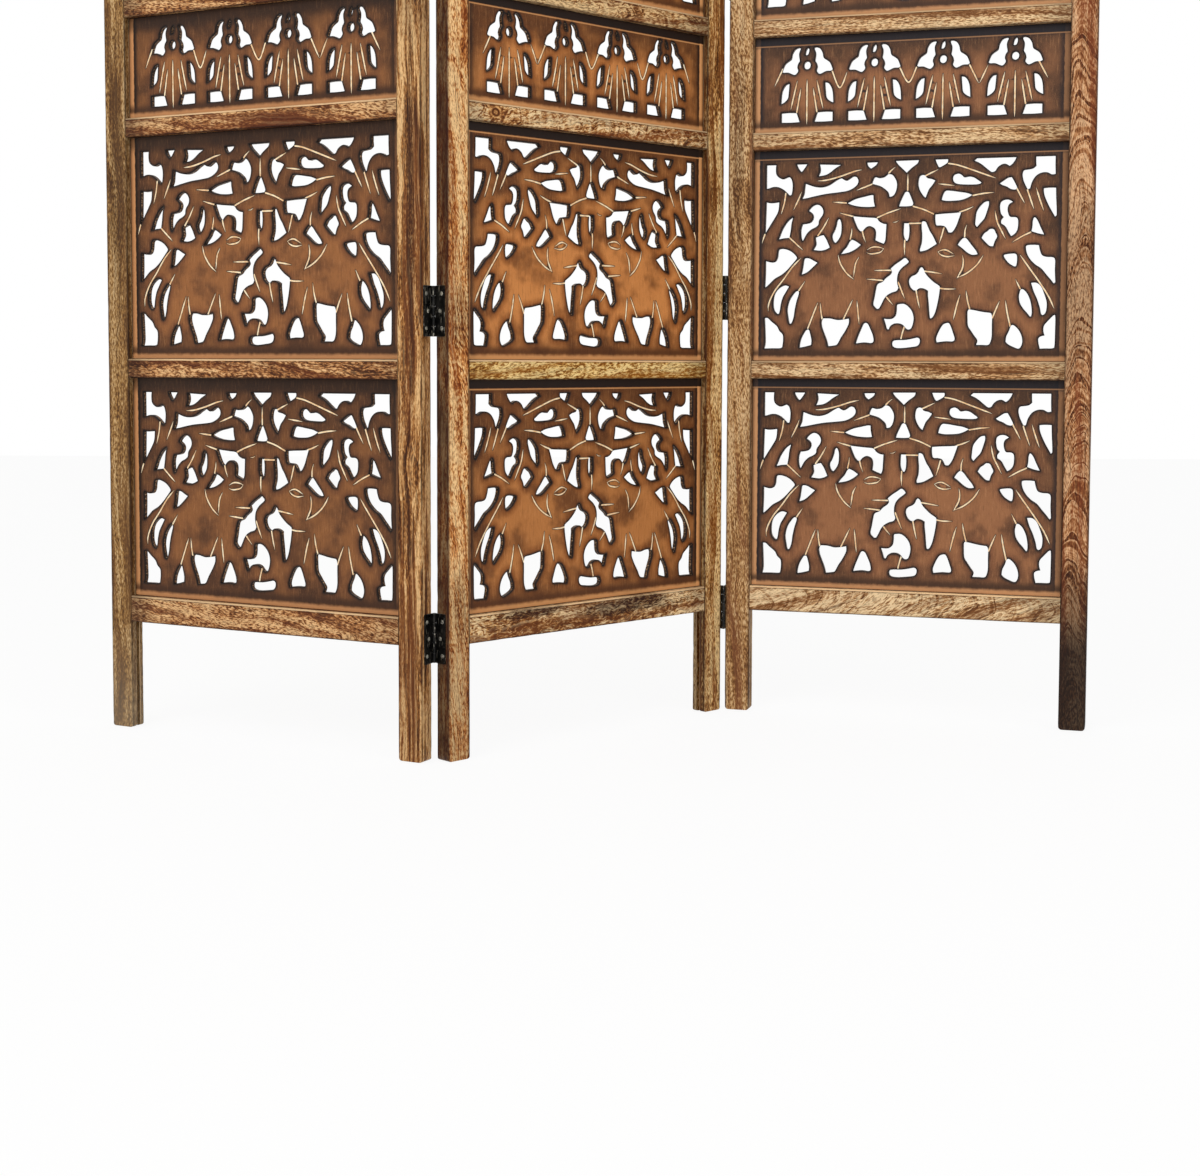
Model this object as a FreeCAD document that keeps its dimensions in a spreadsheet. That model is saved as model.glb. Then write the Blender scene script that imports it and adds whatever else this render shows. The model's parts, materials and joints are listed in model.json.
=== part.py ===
import FreeCAD, Part
import math
import os
import Sketcher

# Folding screen of three hinged panels. Each panel is a frame of two stiles and
# six rails, grooved all round the inside to hold four elephant boards and one
# bird board of fret-cut fibreboard. Millimetres, +Z up, the front faces -Y.
# Every panel has its own frame of reference: X runs across it from its left edge,
# Y from its front face to its back, Z up from the floor.

doc = FreeCAD.newDocument("folding_screen")
sheet = doc.addObject("Spreadsheet::Sheet", "sizes")

DRIVING_SIZES = [
    ("panel_width", 508),
    ("frame_thickness", 22),
    ("stile_width", 36),
    ("leg_height", 147),
    ("end_rail_height", 36),
    ("middle_rail_height", 25.5),
    ("elephant_opening_height", 299),
    ("bird_opening_height", 134),
    ("arris", 1),
    ("foot_chamfer", 3),
    # The groove that carries the boards and the stub tenons.
    ("front_lip", 8.6),
    ("groove_depth", 8),
    ("board_thickness", 6),
    ("board_slip", 0.2),
    ("board_play", 0.4),
    ("tenon_slip", 0.1),
    ("tenon_end_play", 0.4),
    # Butt hinges.
    ("hinge_length", 63.5),
    ("leaf_width", 18),
    ("leaf_thickness", 1.5),
    ("leaf_gap", 0.6),
    ("knuckle_radius", 3),
    ("knuckle_standoff", 3.3),
    ("knuckle_gap", 0.2),
    ("pin_radius", 1.5),
    ("pin_clearance", 0.05),
    ("left_fold_end_hinge", 156),
    ("left_fold_inner_hinge", 568),
    ("right_fold_end_hinge", 150),
    ("right_fold_inner_hinge", 598),
    # The standing pose, in degrees.
    ("middle_panel_turn", 43.6),
    ("left_fold_turn", 70.7),
    ("right_fold_turn", 60.9),
]
for row, (alias, number) in enumerate(DRIVING_SIZES, start=1):
    sheet.set(f"A{row}", alias)
    sheet.set(f"B{row}", str(number))
    sheet.setAlias(f"B{row}", alias)
doc.recompute()


def size(alias):
    return float(sheet.get(alias))


# Sizes that follow from the driving ones, as expressions and as numbers.
OPENING_WIDTH = "(sizes.panel_width - 2 * sizes.stile_width)"
GROOVE_WIDTH = "(sizes.board_thickness + 2 * sizes.board_slip)"
GROOVE_BACK = f"(sizes.front_lip + {GROOVE_WIDTH})"
BOARD_OVERLAP = "(sizes.groove_depth - sizes.board_play)"
TENON_LENGTH = "(sizes.groove_depth - sizes.tenon_end_play)"

# Hinge barrels and pins are many-sided, and the bore's flats clear the pin's corners.
BARREL_SIDES = 8
KNUCKLE_COUNT = 5
BORE_RADIUS = f"((sizes.pin_radius + sizes.pin_clearance) / cos(180 deg / {BARREL_SIDES}))"
TOTAL_HEIGHT = (
    "(sizes.leg_height + 2 * sizes.end_rail_height + 4 * sizes.middle_rail_height"
    " + 4 * sizes.elephant_opening_height + sizes.bird_opening_height)"
)
opening_width = size("panel_width") - 2 * size("stile_width")
edge_gap = 2 * size("leaf_thickness") + size("leaf_gap")
total_height = (
    size("leg_height")
    + 2 * size("end_rail_height")
    + 4 * size("middle_rail_height")
    + 4 * size("elephant_opening_height")
    + size("bird_opening_height")
)

# Cut-outs of the elephant board, two elephants face to face under a tree, as
# shares of the opening's width and height from its lower left corner.
ELEPHANT_CUT_SHARES = [
    # Foliage along the top.
    [(0.041, 0.937), (0.075, 0.937), (0.080, 0.873), (0.123, 0.877), (0.126, 0.792),
     (0.041, 0.826)],
    [(0.172, 0.844), (0.225, 0.824), (0.328, 0.871), (0.338, 0.825), (0.161, 0.772)],
    [(0.389, 0.834), (0.440, 0.879), (0.469, 0.830), (0.450, 0.773), (0.430, 0.810)],
    [(0.540, 0.865), (0.590, 0.842), (0.561, 0.764), (0.537, 0.828)],
    [(0.712, 0.930), (0.843, 0.940), (0.822, 0.900), (0.790, 0.908), (0.772, 0.874)],
    [(0.903, 0.940), (0.962, 0.940), (0.963, 0.857), (0.910, 0.858), (0.883, 0.792),
     (0.862, 0.875)],
    # Branches down the sides and over the heads.
    [(0.041, 0.760), (0.086, 0.760), (0.078, 0.700), (0.040, 0.610)],
    [(0.928, 0.797), (0.965, 0.796), (0.966, 0.664)],
    [(0.184, 0.716), (0.212, 0.744), (0.232, 0.708), (0.216, 0.648), (0.165, 0.573),
     (0.162, 0.654), (0.199, 0.672)],
    [(0.795, 0.715), (0.834, 0.738), (0.820, 0.690), (0.851, 0.660), (0.830, 0.579),
     (0.799, 0.640)],
    [(0.328, 0.685), (0.406, 0.675), (0.437, 0.646), (0.429, 0.554), (0.401, 0.573),
     (0.395, 0.632), (0.361, 0.615)],
    [(0.591, 0.686), (0.674, 0.694), (0.640, 0.601), (0.596, 0.636)],
    [(0.550, 0.654), (0.562, 0.652), (0.598, 0.549), (0.546, 0.514)],
    # Behind the backs.
    [(0.086, 0.536), (0.118, 0.532), (0.146, 0.496), (0.040, 0.354), (0.042, 0.480),
     (0.077, 0.479)],
    [(0.879, 0.536), (0.917, 0.536), (0.927, 0.490), (0.966, 0.480), (0.967, 0.361),
     (0.885, 0.485)],
    [(0.121, 0.358), (0.080, 0.338), (0.070, 0.250), (0.087, 0.226)],
    [(0.894, 0.364), (0.915, 0.362), (0.943, 0.255), (0.931, 0.217)],
    # Around the trunks and the tusks.
    [(0.497, 0.487), (0.510, 0.468), (0.474, 0.400), (0.479, 0.346), (0.442, 0.313),
     (0.412, 0.248), (0.397, 0.274), (0.409, 0.366), (0.452, 0.430)],
    [(0.550, 0.442), (0.610, 0.346), (0.588, 0.208), (0.577, 0.205), (0.573, 0.332),
     (0.525, 0.334), (0.511, 0.385)],
    [(0.474, 0.266), (0.500, 0.269), (0.528, 0.205), (0.515, 0.151), (0.482, 0.180),
     (0.447, 0.152), (0.433, 0.202)],
    # Between the legs.
    [(0.040, 0.208), (0.050, 0.208), (0.102, 0.130), (0.098, 0.063), (0.040, 0.061)],
    [(0.232, 0.204), (0.320, 0.204), (0.282, 0.080), (0.252, 0.073)],
    [(0.374, 0.182), (0.400, 0.092), (0.343, 0.089)],
    [(0.461, 0.100), (0.547, 0.113), (0.547, 0.072), (0.463, 0.066)],
    [(0.633, 0.180), (0.659, 0.097), (0.600, 0.092)],
    [(0.702, 0.244), (0.773, 0.226), (0.774, 0.080), (0.727, 0.079), (0.698, 0.170)],
    [(0.840, 0.172), (0.870, 0.095), (0.858, 0.062), (0.818, 0.093)],
    [(0.968, 0.217), (0.969, 0.063), (0.924, 0.062), (0.919, 0.110), (0.937, 0.123),
     (0.934, 0.170)],
]

# Cut-outs beside the right half of one bird, out from its middle line. The left
# half mirrors them: wing, fanned tail and the ground at its foot.
BIRD_CUT_SHARES = [
    [(0.022, 0.880), (0.048, 0.800), (0.082, 0.640), (0.033, 0.615)],
    [(0.058, 0.512), (0.080, 0.440), (0.085, 0.290)],
    [(0.034, 0.210), (0.084, 0.210), (0.084, 0.108), (0.024, 0.108)],
]
BIRD_MIDDLE_SHARES = [0.172, 0.390, 0.608, 0.832]


def add_sketch(body, name, role):
    sketch = body.newObject("Sketcher::SketchObject", name)
    plane = [item for item in body.Origin.OriginFeatures if item.Role == role][0]
    sketch.AttachmentSupport = [(plane, "")]
    sketch.MapMode = "FlatFace"
    return sketch


def number_of(sketch, expression):
    value = sketch.evalExpression(expression)
    return value.Value if hasattr(value, "Value") else float(value)


def draw_outline(sketch, places):
    # A closed outline of straight lines. Each corner is a pair of expressions, and
    # each line is tied to the sheet at its start and joined to the next at its end.
    corners = [
        FreeCAD.Vector(number_of(sketch, across), number_of(sketch, up), 0)
        for across, up in places
    ]
    count = len(corners)
    sketch.addGeometry(
        [Part.LineSegment(corners[i], corners[(i + 1) % count]) for i in range(count)], False
    )
    ties = []
    for i, corner in enumerate(corners):
        ties.append(Sketcher.Constraint("DistanceX", i, 1, corner.x))
        ties.append(Sketcher.Constraint("DistanceY", i, 1, corner.y))
    joins = [Sketcher.Constraint("Coincident", i, 2, (i + 1) % count, 1) for i in range(count)]
    sketch.addConstraint(ties + joins)
    for i, (across, up) in enumerate(places):
        sketch.setExpression(f"Constraints[{2 * i}]", across)
        sketch.setExpression(f"Constraints[{2 * i + 1}]", up)


def draw_cuts(sketch, cut_shares, opening_height):
    # The fretwork: one closed outline for each cut-out, set out from its shares.
    for shares in cut_shares:
        corners = [
            FreeCAD.Vector(across * opening_width, up * opening_height, 0)
            for across, up in shares
        ]
        sketch.addGeometry(
            [Part.LineSegment(corners[i - 1], corners[i]) for i in range(len(corners))], False
        )


def add_pad(body, name, sketch, length, backwards=False):
    pad = body.newObject("PartDesign::Pad", name)
    pad.Profile = sketch
    pad.setExpression("Length", length)
    pad.Reversed = backwards
    body.Tip = pad
    return pad


def make_stile(label, inner_side):
    # Upright member, grooved down the whole of its inner edge.
    # inner_side is 1 where the groove is on its right edge, and -1 on its left.
    body = doc.addObject("PartDesign::Body", label)
    body.Label = label
    outer = "0" if inner_side > 0 else "sizes.stile_width"
    inner = "sizes.stile_width" if inner_side > 0 else "0"
    sign = "+" if inner_side > 0 else "-"
    back = "-" if inner_side > 0 else "+"
    section = [
        (f"{outer} {sign} sizes.arris", "0"),
        (f"{inner} {back} sizes.arris", "0"),
        (inner, "sizes.arris"),
        (inner, "sizes.front_lip"),
        (f"{inner} {back} sizes.groove_depth", "sizes.front_lip"),
        (f"{inner} {back} sizes.groove_depth", GROOVE_BACK),
        (inner, GROOVE_BACK),
        (inner, "sizes.frame_thickness - sizes.arris"),
        (f"{inner} {back} sizes.arris", "sizes.frame_thickness"),
        (f"{outer} {sign} sizes.arris", "sizes.frame_thickness"),
        (outer, "sizes.frame_thickness - sizes.arris"),
        (outer, "sizes.arris"),
    ]
    profile = add_sketch(body, label + "_section", "XY_Plane")
    draw_outline(profile, section)
    pad = add_pad(body, label + "_length", profile, TOTAL_HEIGHT)
    doc.recompute()
    # The foot is eased at both ends of its tread.
    feet = []
    for index, edge in enumerate(pad.Shape.Edges, start=1):
        box = edge.BoundBox
        at_side = min(abs(box.XMin), abs(box.XMin - size("stile_width"))) < size("board_slip")
        if box.ZMax < size("arris") and box.XLength < size("board_slip") and at_side:
            feet.append(f"Edge{index}")
    foot = body.newObject("PartDesign::Chamfer", label + "_foot")
    foot.Base = (pad, feet)
    foot.setExpression("Size", "sizes.foot_chamfer")
    body.Tip = foot
    return body


def make_rail(label, height, groove_below, groove_above):
    # Cross member with a board groove in one edge or both. What the grooves leave
    # of its ends is the stub tenon that sits in the grooves of the stiles.
    body = doc.addObject("PartDesign::Body", label)
    body.Label = label
    section = [("0", "0")]
    if groove_below:
        section += [
            ("sizes.front_lip", "0"),
            ("sizes.front_lip", "sizes.groove_depth"),
            (GROOVE_BACK, "sizes.groove_depth"),
            (GROOVE_BACK, "0"),
        ]
    section += [("sizes.frame_thickness", "0"), ("sizes.frame_thickness", height)]
    if groove_above:
        section += [
            (GROOVE_BACK, height),
            (GROOVE_BACK, f"{height} - sizes.groove_depth"),
            ("sizes.front_lip", f"{height} - sizes.groove_depth"),
            ("sizes.front_lip", height),
        ]
    section.append(("0", height))
    profile = add_sketch(body, label + "_section", "YZ_Plane")
    draw_outline(profile, section)
    add_pad(body, label + "_length", profile, OPENING_WIDTH)
    bottom = "sizes.groove_depth" if groove_below else "0"
    top = f"{height} - sizes.groove_depth" if groove_above else height
    front = "sizes.front_lip + sizes.tenon_slip"
    back = f"{GROOVE_BACK} - sizes.tenon_slip"
    tenon = add_sketch(body, label + "_tenon_section", "YZ_Plane")
    tenon.setExpression("AttachmentOffset.Base.z", f"-{TENON_LENGTH}")
    draw_outline(tenon, [(front, bottom), (back, bottom), (back, top), (front, top)])
    add_pad(body, label + "_tenons", tenon, f"{OPENING_WIDTH} + 2 * {TENON_LENGTH}")
    return body


def make_board(label, opening_height, cut_shares, turned):
    # Fret-cut board. Its origin is the lower left corner of the opening, so its
    # edges reach past zero into the grooves. A turned board shows its other face.
    body = doc.addObject("PartDesign::Body", label)
    body.Label = label
    blank = add_sketch(body, label + "_blank", "XZ_Plane")
    left, right = f"-{BOARD_OVERLAP}", f"{OPENING_WIDTH} + {BOARD_OVERLAP}"
    bottom, top = f"-{BOARD_OVERLAP}", f"sizes.{opening_height} + {BOARD_OVERLAP}"
    draw_outline(blank, [(left, bottom), (right, bottom), (right, top), (left, top)])
    add_pad(body, label + "_thickness", blank, "sizes.board_thickness", backwards=True)
    fret = add_sketch(body, label + "_fret", "XZ_Plane")
    if turned:
        cut_shares = [[(1 - across, up) for across, up in shares] for shares in cut_shares]
    draw_cuts(fret, cut_shares, size(opening_height))
    pocket = body.newObject("PartDesign::Pocket", label + "_cuts")
    pocket.Profile = fret
    pocket.setExpression("Length", "sizes.board_thickness")
    body.Tip = pocket
    return body


def bird_cuts():
    cuts = []
    for middle in BIRD_MIDDLE_SHARES:
        for shares in BIRD_CUT_SHARES:
            cuts.append([(middle + across, up) for across, up in shares])
            cuts.append([(middle - across, up) for across, up in shares])
    return cuts


def make_box(name, x, y, z, length, width, height):
    box = doc.addObject("Part::Box", name)
    for target, expression in (
        ("Placement.Base.x", x),
        ("Placement.Base.y", y),
        ("Placement.Base.z", z),
        ("Length", length),
        ("Width", width),
        ("Height", height),
    ):
        box.setExpression(target, expression)
    return box


def make_rod(name, radius, z, height):
    # A turned rod, many-sided, whose radius is that of its corners.
    rod = doc.addObject("Part::Prism", name)
    rod.Polygon = BARREL_SIDES
    rod.setExpression("Circumradius", radius)
    rod.setExpression("Placement.Base.z", z)
    rod.setExpression("Height", height)
    return rod


def make_leaf(name, side, depth, knuckles):
    # One hinge leaf about its pin, from z 0 up. side is 1 where its stile lies to
    # the right of the pin, depth is 1 where the stile's edge lies behind the pin.
    # knuckles lists which of the five shares of the barrel it carries.
    x = "sizes.leaf_gap / 2" if side > 0 else "-sizes.leaf_gap / 2 - sizes.leaf_thickness"
    reach = "sizes.knuckle_standoff"
    y = reach if depth > 0 else f"-{reach} - sizes.leaf_width"
    pieces = [make_box(
        name + "_plate", x, y, "0", "sizes.leaf_thickness", "sizes.leaf_width",
        "sizes.hinge_length",
    )]
    middle = f"(({BORE_RADIUS} + sizes.knuckle_radius) / 2)"
    tab_y = middle if depth > 0 else f"-{reach}"
    share = f"sizes.hinge_length / {KNUCKLE_COUNT}"
    for knuckle in knuckles:
        start = f"{share} * {knuckle} + sizes.knuckle_gap / 2"
        length = f"{share} - sizes.knuckle_gap"
        pieces.append(make_box(
            f"{name}_tab_{knuckle}", x, tab_y, start, "sizes.leaf_thickness",
            f"{reach} - {middle}", length,
        ))
        pieces.append(make_rod(f"{name}_knuckle_{knuckle}", "sizes.knuckle_radius", start, length))
    solid = doc.addObject("Part::MultiFuse", name + "_solid")
    solid.Shapes = pieces
    solid.Refine = True
    bore = make_rod(name + "_bore", BORE_RADIUS, "0", "sizes.hinge_length")
    leaf = doc.addObject("Part::Cut", name)
    leaf.Base = solid
    leaf.Tool = bore
    leaf.Refine = True
    return leaf


def hinge_heights(fold):
    # Lower ends of the four hinges of one fold, the same from the floor and the top.
    end = f"sizes.{fold}_end_hinge"
    inner = f"sizes.{fold}_inner_hinge"
    middles = [end, inner, f"{TOTAL_HEIGHT} - {inner}", f"{TOTAL_HEIGHT} - {end}"]
    return [f"{middle} - sizes.hinge_length / 2" for middle in middles]


def group(label, members):
    node = doc.addObject("Part::Compound", label)
    node.Label = label
    node.Links = members
    return node


def make_leaves(label, fold, side, depth, knuckles):
    leaves = []
    for number, height in enumerate(hinge_heights(fold), start=1):
        leaf = make_leaf(f"{label}_{number}", side, depth, knuckles)
        leaf.setExpression("Placement.Base.z", height)
        leaves.append(leaf)
    return group(label, leaves)


def make_pins(label, fold):
    pins = [
        make_rod(f"{label}_{number}", "sizes.pin_radius", height, "sizes.hinge_length")
        for number, height in enumerate(hinge_heights(fold), start=1)
    ]
    return group(label, pins)


# Where each panel and each fold stands in plan.
def turned_vector(x, y, angle):
    turn = math.radians(angle)
    return FreeCAD.Vector(
        x * math.cos(turn) - y * math.sin(turn), x * math.sin(turn) + y * math.cos(turn), 0
    )


width = size("panel_width")
thickness = size("frame_thickness")
standoff = size("knuckle_standoff")
middle_angle = size("middle_panel_turn")
left_angle = middle_angle - size("left_fold_turn")
right_angle = middle_angle - size("right_fold_turn")
middle_corner = FreeCAD.Vector(0, 0, 0)
left_pin = middle_corner + turned_vector(-edge_gap / 2, thickness + standoff, middle_angle)
left_corner = left_pin - turned_vector(width + edge_gap / 2, thickness + standoff, left_angle)
right_pin = middle_corner + turned_vector(width + edge_gap / 2, -standoff, middle_angle)
right_corner = right_pin - turned_vector(-edge_gap / 2, -standoff, right_angle)

# The origin is the middle of the plan's box, on the floor.
arris = size("arris")
plan_points = []
for corner, angle in (
    (left_corner, left_angle),
    (middle_corner, middle_angle),
    (right_corner, right_angle),
):
    for x, y in (
        (0, arris), (arris, 0), (width - arris, 0), (width, arris),
        (width, thickness - arris), (width - arris, thickness), (arris, thickness),
        (0, thickness - arris),
    ):
        plan_points.append(corner + turned_vector(x, y, angle))
plan_middle = FreeCAD.Vector(
    (min(point.x for point in plan_points) + max(point.x for point in plan_points)) / 2,
    (min(point.y for point in plan_points) + max(point.y for point in plan_points)) / 2,
    0,
)
PANELS = {
    "left": (left_corner - plan_middle, left_angle, False),
    "middle": (middle_corner - plan_middle, middle_angle, True),
    "right": (right_corner - plan_middle, right_angle, False),
}


def place(node, corner, angle, x=0, y=0, z=0):
    # Sets a node at a point given in its panel's own frame of reference.
    offset = turned_vector(x, y, angle)
    offset.z = z
    node.Placement = FreeCAD.Placement(
        corner + offset, FreeCAD.Rotation(FreeCAD.Vector(0, 0, 1), angle)
    )
    return node


# From the floor up: legs, then rails and boards by turns, the birds at mid-height.
BOARD_ORDER = [
    ("bottom_elephant_board", "elephant"),
    ("second_elephant_board", "elephant"),
    ("bird_board", "bird"),
    ("third_elephant_board", "elephant"),
    ("top_elephant_board", "elephant"),
]
RAIL_NAMES = [
    "bottom_rail", "second_rail", "third_rail", "fourth_rail", "fifth_rail", "top_rail",
]

nodes = []
for side, (corner, angle, turned) in PANELS.items():
    outer_left = make_stile(f"{side}_panel_left_stile", 1)
    nodes.append(place(outer_left, corner, angle))
    outer_right = make_stile(f"{side}_panel_right_stile", -1)
    nodes.append(place(outer_right, corner, angle, width - size("stile_width")))
    level = size("leg_height")
    for number, rail_name in enumerate(RAIL_NAMES):
        is_end = number in (0, len(RAIL_NAMES) - 1)
        kind = "end" if is_end else "middle"
        rail = make_rail(
            f"{side}_panel_{rail_name}",
            f"sizes.{kind}_rail_height",
            groove_below=number > 0,
            groove_above=number < len(RAIL_NAMES) - 1,
        )
        nodes.append(place(rail, corner, angle, size("stile_width"), 0, level))
        level += size(f"{kind}_rail_height")
        if number == len(BOARD_ORDER):
            break
        board_name, motif = BOARD_ORDER[number]
        cuts = ELEPHANT_CUT_SHARES if motif == "elephant" else bird_cuts()
        board = make_board(
            f"{side}_panel_{board_name}", f"{motif}_opening_height", cuts, turned
        )
        face = size("front_lip") + size("board_slip")
        nodes.append(place(board, corner, angle, size("stile_width"), face, level))
        level += size(f"{motif}_opening_height")

left_fold = left_pin - plan_middle
right_fold = right_pin - plan_middle
ODD_KNUCKLES = range(0, KNUCKLE_COUNT, 2)
EVEN_KNUCKLES = range(1, KNUCKLE_COUNT, 2)
for label, fold, pin, angle, side, depth, knuckles in (
    ("left_fold_outer_leaves", "left_fold", left_fold, left_angle, -1, -1, ODD_KNUCKLES),
    ("left_fold_inner_leaves", "left_fold", left_fold, middle_angle, 1, -1, EVEN_KNUCKLES),
    ("right_fold_inner_leaves", "right_fold", right_fold, middle_angle, -1, 1, ODD_KNUCKLES),
    ("right_fold_outer_leaves", "right_fold", right_fold, right_angle, 1, 1, EVEN_KNUCKLES),
):
    leaves = make_leaves(label, fold, side, depth, knuckles)
    nodes.append(place(leaves, pin, angle))
nodes.append(place(make_pins("left_fold_pins", "left_fold"), left_fold, middle_angle))
nodes.append(place(make_pins("right_fold_pins", "right_fold"), right_fold, middle_angle))

doc.recompute()
for item in doc.Objects:
    if "Invalid" in item.State or "Error" in item.State:
        raise RuntimeError(f"{item.Name} failed: {item.State}")
for node in nodes:
    if node.Shape.isNull() or not node.Shape.isValid():
        raise RuntimeError(f"{node.Label} has no valid shape")

print("left pin", left_fold, "right pin", right_fold, "height", total_height)
os.makedirs("parts", exist_ok=True)
for node in nodes:
    node.Shape.exportStep(f"parts/{node.Label}.step")
print(len(nodes), "nodes written")
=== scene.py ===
import json
import math

import bmesh
import bpy
import numpy as np
from mathutils import Matrix, Vector, geometry, kdtree, noise


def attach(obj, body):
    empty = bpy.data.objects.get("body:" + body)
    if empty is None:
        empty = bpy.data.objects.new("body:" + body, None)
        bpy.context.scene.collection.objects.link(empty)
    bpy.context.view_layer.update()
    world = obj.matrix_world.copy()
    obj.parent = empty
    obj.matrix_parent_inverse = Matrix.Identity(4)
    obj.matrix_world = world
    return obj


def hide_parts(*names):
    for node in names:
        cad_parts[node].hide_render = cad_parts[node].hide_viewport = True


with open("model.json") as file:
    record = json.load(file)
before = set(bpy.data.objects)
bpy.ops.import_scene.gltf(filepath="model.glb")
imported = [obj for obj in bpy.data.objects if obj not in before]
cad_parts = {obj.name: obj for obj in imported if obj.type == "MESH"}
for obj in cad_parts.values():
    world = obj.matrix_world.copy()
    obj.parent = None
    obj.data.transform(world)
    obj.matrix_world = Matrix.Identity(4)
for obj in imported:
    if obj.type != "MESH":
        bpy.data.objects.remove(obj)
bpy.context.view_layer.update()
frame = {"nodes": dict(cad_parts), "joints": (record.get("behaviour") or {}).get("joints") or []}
print("frame loaded:", len(frame["nodes"]), "nodes")

# Lengths are in metres. Across, depth and height are a panel's own directions:
# from its left edge, from its front face and from the floor.
screen = {
    "panelWidth": 0.508,
    "thickness": 0.022,
    "stileWidth": 0.036,
    "legHeight": 0.147,
    "endRail": 0.036,
    "middleRail": 0.0255,
    "elephantHeight": 0.299,
    "birdHeight": 0.134,
    "frontLip": 0.0086,
    "grooveWidth": 0.0064,
    "grooveDepth": 0.008,
    "boardThickness": 0.006,
    "boardOverlap": 0.0076,
    "boardSlack": 0.0002,  # between a board and the front of its groove
    "edgeGap": 0.0036,
    "knuckleStandoff": 0.0033,
    "turns": {"left": -27.1, "middle": 43.6, "right": -17.3},  # degrees about +Z
}
openingWidth = screen["panelWidth"] - 2 * screen["stileWidth"]
boardNames = [
    "bottom_elephant_board", "second_elephant_board", "bird_board", "third_elephant_board",
    "top_elephant_board",
]
railNames = ["bottom_rail", "second_rail", "third_rail", "fourth_rail", "fifth_rail", "top_rail"]
birdIndex, topIndex = 2, 5


def turnOf(side):
    return Matrix.Rotation(math.radians(screen["turns"][side]), 4, "Z")


def panelPlaces():
    pins = {joint["name"]: Vector((*joint["pos_m"][:2], 0)) for joint in frame["joints"]}
    half, stand = screen["edgeGap"] / 2, screen["knuckleStandoff"]
    back, wide = screen["thickness"] + stand, screen["panelWidth"] + half
    offsets = {
        "left": ("left_fold", wide, back),
        "middle": ("left_fold", -half, back),
        "right": ("right_fold", -half, -stand),
    }
    places = {}
    for side, (fold, across, depth) in offsets.items():
        turn = turnOf(side)
        places[side] = Matrix.Translation(pins[fold] - turn @ Vector((across, depth, 0))) @ turn
    return places, pins


panelAt, pinAt = panelPlaces()
railLevels, boardLevels = [], []
level = screen["legHeight"]
for index in range(len(railNames)):
    railHeight = screen["endRail"] if index in (0, topIndex) else screen["middleRail"]
    railLevels.append((level, railHeight))
    level += railHeight
    if index < topIndex:
        openingHeight = screen["birdHeight"] if index == birdIndex else screen["elephantHeight"]
        boardLevels.append((level, openingHeight))
        level += openingHeight
totalHeight = level
print("panels placed, height", round(totalHeight, 4))


def linked(name, data):
    item = bpy.data.objects.new(name, data)
    bpy.context.scene.collection.objects.link(item)
    return item


def storeNumbers(mesh, name, values):
    # One number to each point, or three where the values have three.
    values = np.asarray(values, dtype=np.float32)
    wide = values.ndim > 1
    layer = mesh.attributes.new(name, "FLOAT_VECTOR" if wide else "FLOAT", "POINT")
    layer.data.foreach_set("vector" if wide else "value", values.ravel())


def meshFrom(name, points, faces, numbers=()):
    mesh = bpy.data.meshes.new(name)
    mesh.from_pydata(points, [], faces)
    for label, values in dict(numbers).items():
        storeNumbers(mesh, label, values)
    return mesh


def facedOut(mesh):
    made = bmesh.new()
    made.from_mesh(mesh)
    bmesh.ops.recalc_face_normals(made, faces=made.faces)
    made.to_mesh(mesh)
    made.free()
    return mesh


def pieceFrom(name, mesh, angle, *looks):
    # Smooth shading that keeps the edges sharper than the angle.
    for look in looks:
        mesh.materials.append(look)
    mesh.polygons.foreach_set("use_smooth", [True] * len(mesh.polygons))
    made = bmesh.new()
    made.from_mesh(mesh)
    for edge in made.edges:
        if len(edge.link_faces) == 2 and edge.calc_face_angle(0) > math.radians(angle):
            edge.smooth = False
    made.to_mesh(mesh)
    made.free()
    return linked(name, mesh)


plank = {
    "arris": 0.00155,  # rounding along the outer edges
    "lip": 0.0005,  # rounding along the groove
    "roundSteps": 3,
    "footRound": 0.005,  # rounding of a foot's two corners
    "footShares": (0, 0.06, 0.2, 0.4, 0.65),  # rings on that rounding
    "arrisEdge": 0.0011,  # width of the darkened strip beside an arris
    "wear": 0.0008,  # how far the edges are knocked back
    "wearGrain": (60, 90),  # how quickly that changes along the plank and across it
    "station": 0.009,  # spacing of the rings along a plank
    "tenonSlack": 0.0001,
    "sharpAngle": 32,
    "railTones": {  # 0.5 is even, less is darker, from the bottom rail up
        "left": (0.53, 0.37, 0.46, 0.5, 0.48, 0.5),
        "middle": (0.53, 0.53, 0.46, 0.52, 0.5, 0.44),
        "right": (0.49, 0.46, 0.5, 0.52, 0.47, 0.52),
    },
    "stileTones": {"left": (0.5, 0.5), "middle": (0.55, 0.5), "right": (0.5, 0.3)},
}
# The pale marks are worn edges; along the top front arris of each rail the pale line is also a painted
# highlight.
lipMark, paleWearAndHighlightMark = 1.8, 2.0  # marks of an arris: pale, and pale above a dark line


def roundedSection(corners):
    # corners are (x, y, radius, mark). Returns points and each one's mark, 0 off the arrises.
    found = []
    steps, strip = plank["roundSteps"], plank["arrisEdge"]
    for i, (x, y, radius, *mark) in enumerate(corners):
        here = Vector((x, y))
        if radius <= 0:
            found.append((here, 0.0))
            continue
        before = (Vector(corners[i - 1][:2]) - here).normalized()
        after = (Vector(corners[(i + 1) % len(corners)][:2]) - here).normalized()
        start, end = here + before * radius, here + after * radius
        found.append((start + before * strip, 0.0))
        for step in range(steps + 1):
            t = step / steps
            found.append((start * (1 - t) ** 2 + here * 2 * t * (1 - t) + end * t * t,
                          mark[0] if mark else 1.0 - abs(2 * t - 1) * 0.55))
        if mark == [paleWearAndHighlightMark]:
            found += [(end + after * strip * 0.8, 1.0), (end + after * strip * 2.0, 0.0)]
        else:
            found.append((end + after * strip, 0.0))
    return zip(*found)


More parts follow.
